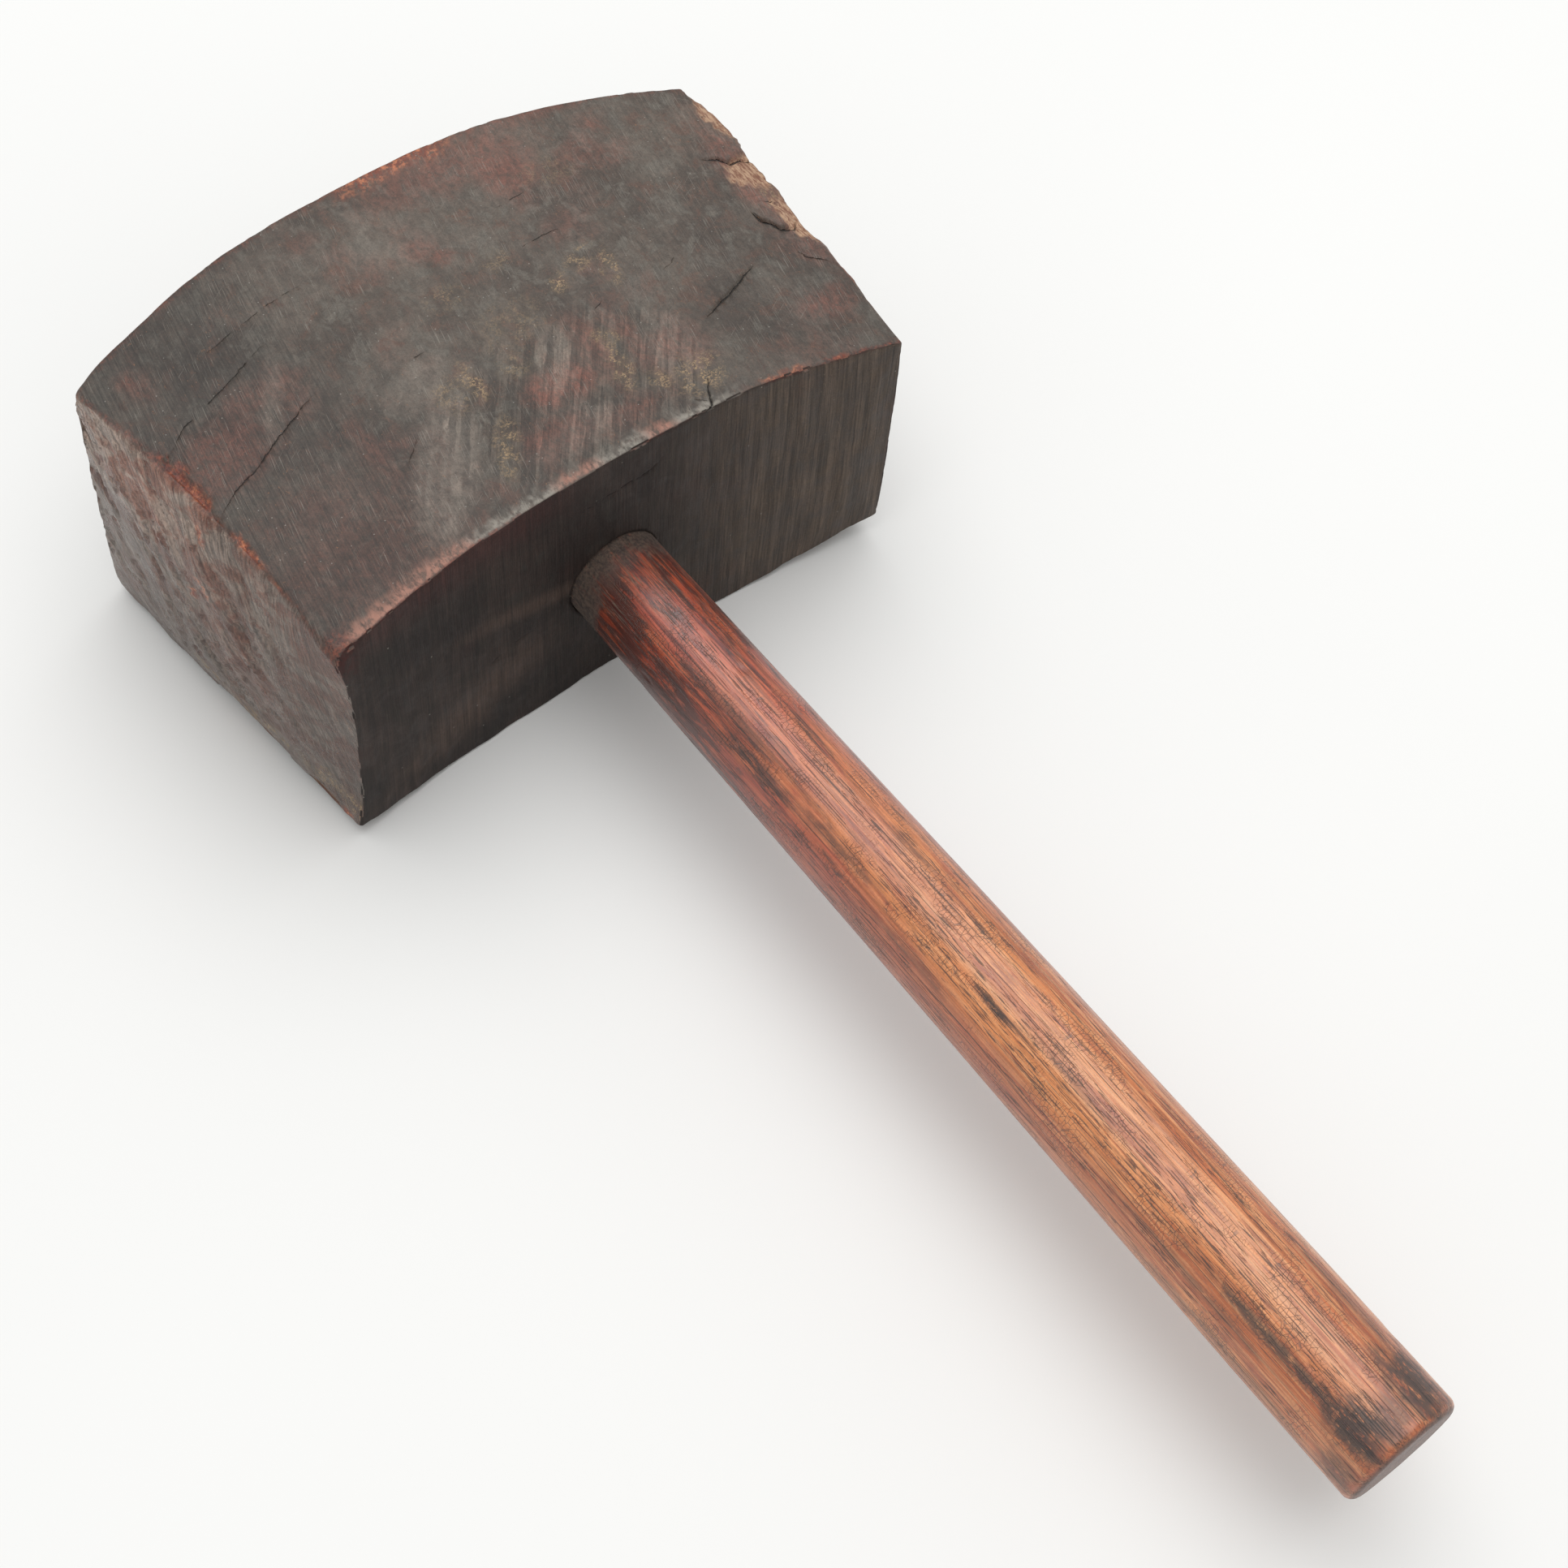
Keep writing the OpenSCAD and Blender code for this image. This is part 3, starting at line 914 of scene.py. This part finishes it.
def build_wedge():
    """The tapered slip, its driven end bruised and its sides given a fine grain."""
    length = wedge_high[1] - wedge_low[1]
    piece = add_object("wedge_worn", slip_mesh("wedge_worn", length, -0.25, -0.35))
    mesh = bmesh.new()
    mesh.from_mesh(piece.data)
    bmesh.ops.bevel(mesh, geom=list(mesh.edges), offset=0.00025, segments=2, profile=0.6, affect="EDGES")
    for _ in range(4):
        long_edges = [e for e in mesh.edges if e.calc_length() > 0.0022]
        bmesh.ops.subdivide_edges(mesh, edges=long_edges, cuts=1, use_grid_fill=True)
    bmesh.ops.triangulate(mesh, faces=[f for f in mesh.faces if len(f.verts) > 4])
    p = np.array([v.co[:] for v in mesh.verts]) / MM
    top = ease(wedge_high[1] - 4, wedge_high[1], p[:, 1])
    bruise = 0.14 * cloud(p, 2.5, 120, 3) * top
    fibre = 0.05 * cloud(p, (1.0, 20, 1.0), 121, 2)
    for vert, place, down, thin in zip(mesh.verts, p, bruise, fibre):
        inward = place[0] * (1 - SQUEEZE) + AXIS_X * SQUEEZE
        vert.co = Vector((inward, place[1] - abs(down), place[2])) * MM
        vert.co.x += -math.copysign(abs(thin), place[0] - AXIS_X) * MM
    mesh.to_mesh(piece.data)
    mesh.free()
    piece.data.shade_smooth()
    return piece


# ---------------------------------------------------------------- materials

def srgb(r, g, b):
    """A colour from display values, 0 to 255, as linear light."""
    channels = []
    for c in (r, g, b):
        c = c / 255
        channels.append(c / 12.92 if c <= 0.04045 else ((c + 0.055) / 1.055) ** 2.4)
    return (*channels, 1.0)


class Shader:
    """A small helper that builds one node material around a Principled BSDF."""

    def __init__(self, name):
        self.material = bpy.data.materials.new(name)
        self.material.use_nodes = True
        self.tree = self.material.node_tree
        self.bsdf = self.tree.nodes["Principled BSDF"]
        place = self.put("ShaderNodeTexCoord").outputs["Object"]
        scaled = {0: place, 1: (1 / MM,) * 3}
        self.place = self.vector("MULTIPLY", scaled).outputs[0]

    def put(self, kind, values=None, **settings):
        made = self.tree.nodes.new(kind)
        for key, value in settings.items():
            setattr(made, key, value)
        for key, value in (values or {}).items():
            if isinstance(value, bpy.types.NodeSocket):
                self.tree.links.new(value, made.inputs[key])
            else:
                made.inputs[key].default_value = value
        return made

    def vector(self, operation, values):
        return self.put("ShaderNodeVectorMath", values, operation=operation)

    def mask(self, name):
        return self.put("ShaderNodeAttribute", attribute_name=name).outputs["Fac"]

    def stretched(self, size, turn=0.0, tilt=0.0):
        """The piece's own coordinates, turned about Z and X, and divided by a size along each axis."""
        turned = {"Vector": self.place, "Scale": size, "Rotation": (tilt, 0, turn)}
        return self.put("ShaderNodeMapping", turned, vector_type="TEXTURE").outputs[0]

    def rings(self, pith, width):
        """Growth rings around a pith that runs along Y."""
        moved = self.vector("SUBTRACT", {0: self.place, 1: pith}).outputs[0]
        flat = self.vector("MULTIPLY", {0: moved, 1: (1, 0, 1)}).outputs[0]
        reach = self.vector("LENGTH", {0: flat}).outputs["Value"]
        wander = self.math("MULTIPLY", self.noise((14, 90, 14), 3), width * 2.2)
        phase = self.math("DIVIDE", self.plus(reach, wander), width / (2 * math.pi))
        return self.plus(self.times(self.math("SINE", phase), 0.5), 0.5)

    def noise(self, size, detail=4.0, rough=0.55, warp=0.0, turn=0.0, tilt=0.0):
        size = size if isinstance(size, tuple) else (size,) * 3
        place = self.stretched(size, turn, tilt)
        settings = {"Vector": place, "Scale": 1.0, "Detail": detail, "Roughness": rough, "Distortion": warp}
        return self.put("ShaderNodeTexNoise", settings).outputs["Fac"]

    def cells(self, size, feature="F1"):
        size = size if isinstance(size, tuple) else (size,) * 3
        settings = {"Vector": self.stretched(size), "Scale": 1.0}
        return self.put("ShaderNodeTexVoronoi", settings, feature=feature).outputs["Distance"]

    def span(self, value, low, high, start=0.0, end=1.0):
        return self.put(
            "ShaderNodeMapRange",
            {"Value": value, "From Min": low, "From Max": high, "To Min": start, "To Max": end},
            interpolation_type="SMOOTHSTEP",
        ).outputs["Result"]

    def math(self, operation, a, b=0.0, clamp=False):
        return self.put("ShaderNodeMath", {0: a, 1: b}, operation=operation, use_clamp=clamp).outputs[0]

    def times(self, a, b):
        return self.math("MULTIPLY", a, b)

    def plus(self, a, b):
        return self.math("ADD", a, b)

    def mix(self, share, a, b, blend="MIX"):
        made = self.put("ShaderNodeMix", data_type="RGBA", blend_type=blend)
        for key, value in ((0, share), (6, a), (7, b)):
            if isinstance(value, bpy.types.NodeSocket):
                self.tree.links.new(value, made.inputs[key])
            else:
                made.inputs[key].default_value = value
        return made.outputs[2]

    def coat(self, below, mask, amount, colour):
        """Lays a colour over another where mask is high, and by no more than amount."""
        return self.mix(self.times(mask, amount), below, colour)

    def level(self, colour, value, low, high):
        """Scales a colour by a factor that runs from low to high with value."""
        factor = self.span(value, 0.25, 0.75, low, high)
        grey = self.put("ShaderNodeCombineColor", {0: factor, 1: factor, 2: factor}).outputs[0]
        return self.mix(1.0, colour, grey, "MULTIPLY")

    def finish(self, colour, roughness, height, bump=1.0, **fixed):
        self.tree.links.new(colour, self.bsdf.inputs["Base Color"])
        self.tree.links.new(roughness, self.bsdf.inputs["Roughness"])
        bumped = self.put("ShaderNodeBump", {"Height": height, "Strength": bump, "Distance": MM})
        self.tree.links.new(bumped.outputs[0], self.bsdf.inputs["Normal"])
        for key, value in fixed.items():
            self.bsdf.inputs[key.replace("_", " ")].default_value = value
        return self.material


MID_GREY = (0.5, 0.5, 0.5, 1)


def painted_crack_shade(shader):
    """Painted shade in the open line of a crack, drawn finer than the mesh from its smooth signed distance.
    """
    wobble = shader.span(shader.noise(1.1, 3), 0.3, 0.7, -0.10, 0.10)
    gap = shader.math("ABSOLUTE", shader.plus(shader.mask("crack_gap"), wobble))
    strength = shader.mask("crack")
    width = shader.times(strength, 0.12)
    inside = shader.span(shader.math("SUBTRACT", gap, width), 0.10, -0.05)
    return shader.times(inside, shader.span(strength, 0.10, 0.90, 0.0, 0.90))


def head_patina():
    """Dark, handled wood of the cheeks, the crown and the striking faces."""
    s = Shader("head_patina")
    cloudy = s.noise(22, 6, 0.62)
    blotch = s.noise((7, 9, 9), 6, 0.70, 0.5)
    mottle = s.noise((1.5, 2.6, 2.6), 5, 0.72, 0.3)
    reeds = s.noise((0.5, 12, 12), 3, 0.62, 0.0, math.radians(-10))
    wide_reeds = s.noise((2.2, 30, 30), 4, 0.6, 0.2, math.radians(-10))
    slash = s.noise((10, 0.6, 20), 4, 0.64, 0.0, math.radians(52))
    bars = s.noise((30, 2.6, 24), 3, 0.55, 0.0, math.radians(52))
    grit = s.noise(0.55, 3, 0.75)
    steep = s.noise((4, 11, 0.9), 4, 0.62, 0.1, 0.0, math.radians(48))
    upright = s.noise((4, 14, 0.6), 4, 0.62, 0.1, 0.0, math.radians(72))
    hair_a = s.noise((9.0, 0.20, 9.0), 1, 0.5, 0.12, math.radians(31))
    hair_b = s.noise((8.0, 0.20, 8.0), 1, 0.5, 0.12, math.radians(74))
    hair_c = s.noise((0.20, 8.0, 8.0), 0, 0.5, 0.0, math.radians(-14))

    base = s.mix(s.span(cloudy, 0.36, 0.64), srgb(62, 53, 46), srgb(82, 73, 65))
    base = s.coat(base, s.span(blotch, 0.50, 0.62), 0.75, srgb(86, 81, 74))
    base = s.coat(base, s.span(blotch, 0.48, 0.36), 0.75, srgb(78, 57, 47))
    red = s.times(s.mask("red"), s.span(mottle, 0.34, 0.60, 0.35, 1.0))
    base = s.coat(base, red, 0.85, srgb(114, 67, 55))
    polish = s.times(s.mask("pale"), s.span(s.noise(3.5, 5, 0.65), 0.34, 0.52, 0.40, 0.90))
    polish = s.times(polish, s.span(bars, 0.38, 0.62, 0.55, 1.0))
    base = s.mix(polish, base, srgb(118, 107, 97))
    islands = s.span(s.noise((9, 16, 7), 5, 0.65, 0.6), 0.42, 0.58)
    face = s.mix(islands, srgb(122, 107, 97), srgb(104, 72, 60))
    streaks = s.mix(s.mask("front"), steep, upright)
    face = s.level(face, s.span(streaks, 0.30, 0.70), 0.64, 1.38)
    torn_red = s.times(s.span(steep, 0.44, 0.36), s.times(islands, 0.8))
    face = s.mix(torn_red, face, srgb(96, 46, 34))
    face = s.coat(face, s.span(steep, 0.37, 0.31), 0.7, srgb(38, 28, 25))
    # Painted sheen: the striking faces are lightened towards the top and darkened lower down, and lightened
    # more in their upper part near the crown.
    face = s.level(face, s.mask("painted_sheen_gradient"), 0.68, 1.20)
    face = s.level(face, s.span(s.mask("painted_upper_sheen"), 0.0, 1.0, 0.25, 0.75), 1.0, 1.62)
    base = s.mix(s.times(s.mask("ends"), 0.72), base, face)
    base = s.level(base, mottle, 0.76, 1.26)
    base = s.level(base, grit, 0.80, 1.20)
    reeding = s.mix(s.mask("reeds"), MID_GREY, reeds)
    base = s.level(base, reeding, 0.56, 1.46)
    base = s.level(base, wide_reeds, 0.88, 1.12)
    slashing = s.mix(s.mask("slashes"), MID_GREY, slash)
    base = s.level(base, slashing, 0.68, 1.28)
    barring = s.mix(s.mask("slashes"), MID_GREY, bars)
    barring = s.span(barring, 0.46, 0.54, 0.25, 0.75)
    base = s.level(base, barring, 0.76, 1.18)
    # Darker towards the cheek's left end, and lighter where the painted pool of light lies.
    base = s.level(base, s.math("SUBTRACT", 1.0, s.mask("tone")), 0.74, 1.26)

    scuffs = s.math("MAXIMUM", s.span(hair_a, 0.70, 0.78), s.span(hair_b, 0.70, 0.78))
    scuffs = s.math("MAXIMUM", scuffs, s.span(hair_c, 0.68, 0.76))
    scuffs = s.times(scuffs, s.span(s.noise(13, 3), 0.42, 0.56))
    base = s.coat(base, scuffs, 0.34, srgb(146, 140, 130))
    flecks = s.times(s.span(s.noise((0.8, 1.5, 1.2), 4, 0.75), 0.61, 0.70), s.span(blotch, 0.56, 0.40))
    base = s.coat(base, flecks, 0.7, srgb(140, 98, 68))
    dirt = s.span(s.noise((0.9, 1.2, 1.0), 4, 0.8), 0.60, 0.66)
    base = s.coat(base, dirt, 0.5, srgb(42, 34, 30))

    frost = s.span(s.noise((1.5, 2.8, 2.8), 5, 0.66), 0.36, 0.60, 0.12, 0.78)
    rim = s.mix(s.mask("pink"), srgb(150, 144, 134), srgb(172, 122, 104))
    base = s.mix(s.times(s.mask("dust"), frost), base, rim)
    crumbs = s.times(s.span(s.noise(0.8, 4, 0.85), 0.49, 0.56), s.span(s.noise(3.6, 3, 0.6), 0.44, 0.54))
    tan = s.times(s.mask("tan"), crumbs)
    soil = s.times(s.mask("tan"), s.span(s.noise(4.5, 4, 0.7), 0.38, 0.58, 0.0, 0.45))
    base = s.mix(soil, base, srgb(98, 84, 68))
    base = s.coat(base, tan, 0.95, srgb(158, 134, 104))
    ember = s.mix(s.span(s.noise(1.6, 4, 0.75), 0.42, 0.62), srgb(62, 30, 25), srgb(128, 66, 48))
    base = s.mix(s.times(s.mask("ember"), s.span(mottle, 0.30, 0.54)), base, ember)
    warm = s.mix(s.span(s.noise(2.0, 4, 0.7), 0.44, 0.64), srgb(120, 56, 38), srgb(204, 124, 84))
    torn = s.span(s.noise((1.2, 1.8, 1.8), 5, 0.75), 0.36, 0.52)
    base = s.mix(s.times(s.mask("orange"), torn), base, warm)
    splinters = s.span(s.noise((0.8, 3.4, 0.8), 5, 0.72), 0.38, 0.60)
    broken = s.mix(splinters, srgb(124, 86, 68), srgb(180, 148, 122))
    base = s.mix(s.times(s.mask("bare"), s.span(s.noise(3, 4, 0.7), 0.26, 0.40)), base, broken)
    specks = s.span(s.cells(3.4), 0.070, 0.045)
    base = s.coat(base, specks, 0.5, srgb(158, 154, 146))
    # Painted shade: the open cracks drawn near black.
    base = s.mix(painted_crack_shade(s), base, srgb(14, 10, 8))

    rough = s.span(blotch, 0.3, 0.7, 0.42, 0.58)
    rough = s.math("SUBTRACT", rough, s.times(s.mask("pale"), 0.08))
    rough = s.math("SUBTRACT", rough, s.times(s.mask("ends"), 0.20))
    rough = s.plus(rough, s.times(s.mask("bare"), 0.3))
    rough = s.math("ADD", rough, s.times(tan, 0.3), clamp=True)
    height = s.plus(s.times(reeding, 0.18), s.times(wide_reeds, 0.10))
    height = s.plus(height, s.plus(s.times(grit, 0.12), s.times(slashing, 0.22)))
    height = s.plus(height, s.plus(s.times(mottle, 0.14), s.times(barring, 0.12)))
    height = s.plus(height, s.times(s.mask("ends"), s.times(streaks, 0.75)))
    height = s.plus(height, s.times(s.mask("bare"), s.times(s.noise((0.8, 3, 0.8), 4), 0.6)))
    height = s.math("SUBTRACT", height, s.times(painted_crack_shade(s), 0.4))
    return s.finish(base, rough, height, 0.9, Specular_IOR_Level=0.5)


def head_sawn():
    """Rough, nearly black underside with saw marks across it."""
    s = Shader("head_sawn")
    cloudy = s.noise(30, 5, 0.62)
    blotch = s.noise((8, 9, 9), 5, 0.66, 0.5)
    marks = s.noise((0.55, 20, 24), 4, 0.70, 0.1)
    wide_marks = s.noise((2.0, 30, 30), 4, 0.6, 0.35)
    grit = s.noise(0.7, 4, 0.75)
    base = s.mix(s.span(cloudy, 0.35, 0.65), srgb(36, 28, 25), srgb(52, 41, 36))
    base = s.coat(base, s.span(blotch, 0.5, 0.68), 0.6, srgb(50, 47, 43))
    earthy = s.mix(s.span(blotch, 0.36, 0.62), srgb(70, 60, 53), srgb(84, 72, 62))
    base = s.mix(s.mask("brown"), base, earthy)
    base = s.coat(base, s.mask("red"), 0.30, srgb(84, 44, 38))
    base = s.coat(base, s.mask("low_red"), 0.6, srgb(64, 32, 30))
    base = s.coat(base, s.mask("smear"), 0.6, srgb(84, 67, 58))
    marked = s.mix(s.mask("saw"), MID_GREY, marks)
    base = s.level(base, marked, 0.50, 1.44)
    base = s.level(base, wide_marks, 0.72, 1.26)
    base = s.level(base, grit, 0.78, 1.12)
    ember = s.times(s.mask("ember"), s.span(s.noise(2.0, 4), 0.40, 0.6))
    base = s.mix(ember, base, srgb(64, 29, 26))
    flecks = s.times(s.span(s.noise((0.7, 1.0, 1.6), 4, 0.75), 0.62, 0.70), s.mask("brown"))
    base = s.coat(base, flecks, 0.6, srgb(116, 102, 84))
    specks = s.span(s.cells(7.5), 0.040, 0.025)
    base = s.coat(base, specks, 0.6, srgb(150, 146, 138))
    # Painted shade: the open cracks drawn near black.
    base = s.mix(painted_crack_shade(s), base, srgb(10, 8, 7))
    rough = s.span(blotch, 0.3, 0.7, 0.56, 0.76)
    height = s.plus(s.times(marked, 0.26), s.plus(s.times(wide_marks, 0.30), s.times(grit, 0.10)))
    height = s.math("SUBTRACT", height, s.times(painted_crack_shade(s), 0.4))
    return s.finish(base, rough, height, 0.9, Specular_IOR_Level=0.32)


def handle_wood():
    """Red-brown ring-porous wood, polished by hands."""
    s = Shader("handle_wood")
    broad = s.noise((8, 120, 8), 5, 0.6)
    blotch = s.noise((3.2, 22, 3.2), 5, 0.68, 0.3)
    rays = s.noise((1.0, 44, 1.0), 4, 0.6, 0.1)
    fibre = s.noise((0.42, 20, 0.42), 4, 0.65)
    smudge = s.noise((2.2, 15, 2.2), 5, 0.70, 0.3)
    rings = s.rings((41, 0, -26), 2.9)
    pores = s.noise((0.34, 8, 0.34), 2, 0.62, 0.1)
    long_pores = s.noise((0.42, 46, 0.42), 2, 0.6)
    crackle = s.cells((2.2, 1.3, 2.2), "DISTANCE_TO_EDGE")
    head_dark = s.mask("head_dark")

    base = s.mix(s.span(broad, 0.36, 0.62), srgb(172, 88, 40), srgb(212, 132, 72))
    base = s.coat(base, s.span(rays, 0.44, 0.62), 0.60, srgb(228, 162, 108))
    base = s.coat(base, s.span(blotch, 0.48, 0.35), 0.55, srgb(138, 58, 30))
    red = s.mix(s.span(rays, 0.36, 0.60), srgb(112, 34, 22), srgb(178, 74, 46))
    base = s.mix(s.times(head_dark, s.span(blotch, 0.34, 0.66, 1.0, 0.72)), base, red)
    base = s.coat(base, s.mask("side_red"), 0.45, srgb(142, 58, 34))
    sooty = s.plus(s.times(head_dark, 0.05), s.times(s.mask("soot"), 0.15))
    sooty = s.span(s.plus(smudge, sooty), 0.58, 0.70)
    base = s.mix(s.times(sooty, s.times(head_dark, 0.80)), base, srgb(50, 28, 25))
    base = s.mix(s.times(s.mask("soot"), s.span(smudge, 0.30, 0.62, 0.10, 0.62)), base, srgb(74, 36, 30))
    base = s.level(base, fibre, 0.74, 1.24)
    base = s.level(base, s.noise(0.6, 3, 0.7), 0.90, 1.10)
    early = s.span(rings, 0.40, 0.72, 0.12, 1.0)
    lines = s.times(s.span(pores, 0.56, 0.60), early)
    lines = s.math("MAXIMUM", lines, s.times(s.span(long_pores, 0.60, 0.65), 0.9))
    line_colour = s.mix(s.mask("dusty_pores"), srgb(48, 28, 20), srgb(120, 98, 80))
    base = s.coat(base, lines, 0.80, line_colour)
    stain = s.times(s.mask("stain"), s.span(s.noise((1.2, 4, 1.2), 5, 0.72), 0.32, 0.48))
    base = s.coat(base, stain, 0.92, srgb(40, 30, 27))
    checks = s.times(s.span(crackle, 0.050, 0.020), s.span(s.noise((6, 18, 6), 3), 0.48, 0.60))
    base = s.coat(base, checks, 0.6, srgb(58, 34, 24))
    base = s.coat(base, s.mask("worn"), 0.7, srgb(172, 84, 42))
    sawn = s.mix(s.span(s.noise(1.6, 5), 0.4, 0.6), srgb(48, 32, 27), srgb(92, 64, 52))
    base = s.coat(base, s.mask("end_grain"), 0.85, sawn)
    grime = s.mix(s.span(s.noise(1.1, 5, 0.7), 0.38, 0.62), srgb(50, 38, 32), srgb(92, 75, 62))
    base = s.mix(s.times(s.mask("grime"), s.span(s.noise(2.4, 4), 0.26, 0.42, 0.45, 0.95)), base, grime)

    rough = s.span(fibre, 0.3, 0.7, 0.31, 0.41)
    rough = s.plus(rough, s.times(lines, 0.30))
    rough = s.plus(rough, s.times(stain, 0.16))
    rough = s.plus(rough, s.times(s.mask("grime"), 0.45))
    rough = s.math("ADD", rough, s.times(s.mask("end_grain"), 0.30), clamp=True)
    height = s.plus(s.times(fibre, 0.05), s.times(s.math("SUBTRACT", 1.0, lines), 0.16))
    height = s.plus(height, s.plus(s.times(checks, -0.10), s.times(rays, 0.03)))
    height = s.plus(height, s.times(s.noise((2.5, 1.4, 2.5), 3, 0.6), 0.05))
    return s.finish(
        base, rough, height, 0.75, Specular_IOR_Level=0.9, Coat_Weight=0.30, Coat_Roughness=0.22,
    )


def wedge_wood():
    s = Shader("wedge_wood")
    grain = s.noise((0.5, 9, 2.5), 4, 0.6)
    base = s.mix(s.span(grain, 0.35, 0.65), srgb(70, 50, 36), srgb(110, 84, 60))
    base = s.coat(base, s.span(s.noise(2.2, 4), 0.5, 0.7), 0.6, srgb(48, 36, 28))
    rough = s.span(grain, 0.3, 0.7, 0.5, 0.7)
    return s.finish(base, rough, s.times(grain, 0.25), 0.8, Specular_IOR_Level=0.35)


def floor_paper():
    s = Shader("floor_paper")
    tone = s.mix(s.span(s.noise(400, 2), 0.3, 0.7), (0.835, 0.837, 0.828, 1), (0.849, 0.851, 0.841, 1))
    rough = s.span(s.noise(300, 2), 0.3, 0.7, 0.75, 0.85)
    return s.finish(tone, rough, s.noise(60, 2), 0.02, Specular_IOR_Level=0.1)


# ---------------------------------------------------------------- assembly of the looks

def paint_head(piece):
    """The underside's faces take the sawn material, and all others the patina."""
    data = piece.data
    data.materials.append(head_patina())
    data.materials.append(head_sawn())
    normals = np.empty(len(data.polygons) * 3)
    data.polygons.foreach_get("normal", normals)
    centres = np.empty(len(data.polygons) * 3)
    data.polygons.foreach_get("center", centres)
    n, c = normals.reshape(-1, 3), centres.reshape(-1, 3) / MM
    under_y = UNDER_Y - sag(c[:, 0] - HEAD_X, UNDER_HALF, UNDER_HOLLOW)
    sawn = (n[:, 1] < -0.62) & (np.abs(c[:, 1] - under_y) < 6)
    data.polygons.foreach_set("material_index", sawn.astype(np.int32))


def make_pieces():
    head = build_head()
    paint_head(head)
    handle = build_handle()
    handle.data.materials.append(handle_wood())
    wedge = build_wedge()
    wedge.data.materials.append(wedge_wood())
    for piece, node, slot in (
        (head, "head", "head_wood"),
        (handle, "handle", "handle_wood"),
        (wedge, "wedge", "wedge_wood"),
    ):
        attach(piece, "root")
        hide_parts(node)


CAMERA_PLACE = (-0.2730, -0.4242, 0.6709)
CAMERA_AZIMUTH, CAMERA_ELEVATION, CAMERA_ROLL = (math.radians(d) for d in (-44.15, 58.38, 7.07))
CAMERA_LENS, SENSOR = 61.43, 36.0


def make_camera():
    data = bpy.data.cameras.new("camera")
    data.lens = CAMERA_LENS
    data.sensor_width = SENSOR
    camera = add_object("camera", data)
    flat = math.cos(CAMERA_ELEVATION)
    ahead = Vector((
        -math.sin(CAMERA_AZIMUTH) * flat, math.cos(CAMERA_AZIMUTH) * flat, -math.sin(CAMERA_ELEVATION)
    ))
    level = Vector((math.cos(CAMERA_AZIMUTH), math.sin(CAMERA_AZIMUTH), 0))
    upright = level.cross(ahead)
    right = level * math.cos(CAMERA_ROLL) + upright * math.sin(CAMERA_ROLL)
    up = upright * math.cos(CAMERA_ROLL) - level * math.sin(CAMERA_ROLL)
    turn = Matrix((right, up, -ahead)).transposed().to_4x4()
    camera.matrix_world = Matrix.Translation(CAMERA_PLACE) @ turn
    bpy.context.scene.camera = camera


FLOOR_HALF = 12.0


def make_floor():
    data = bpy.data.meshes.new("floor")
    corners = [(x * FLOOR_HALF, y * FLOOR_HALF, 0) for x, y in ((-1, -1), (1, -1), (1, 1), (-1, 1))]
    data.from_pydata(corners, [], [(0, 1, 2, 3)])
    floor = add_object("floor", data)
    data.materials.append(floor_paper())


def add_softbox(name, place, aim, size, power):
    data = bpy.data.lights.new(name, "AREA")
    data.shape = "RECTANGLE"
    data.size, data.size_y = size
    data.energy = power
    lamp = add_object(name, data)
    lamp.location = place
    lamp.rotation_euler = (Vector(aim) - Vector(place)).to_track_quat("-Z", "Y").to_euler()


ROOM_COLOUR, ROOM_STRENGTH = (1.0, 1.0, 0.99, 1), 0.64
OVERHEAD_PLACE, OVERHEAD_AIM = (0.26, 0.28, 2.8), (0.0, -0.15, 0.0)
OVERHEAD_SIZE, OVERHEAD_WATTS = (3.1, 3.5), 61.0


def make_light():
    world = bpy.data.worlds.new("studio")
    world.use_nodes = True
    room = world.node_tree.nodes["Background"].inputs
    room["Color"].default_value = ROOM_COLOUR
    room["Strength"].default_value = ROOM_STRENGTH
    bpy.context.scene.world = world
    add_softbox("overhead", OVERHEAD_PLACE, OVERHEAD_AIM, OVERHEAD_SIZE, OVERHEAD_WATTS)


def main():
    bpy.context.scene.view_settings.view_transform = "Standard"
    make_camera()
    make_pieces()
    make_floor()
    make_light()


main()
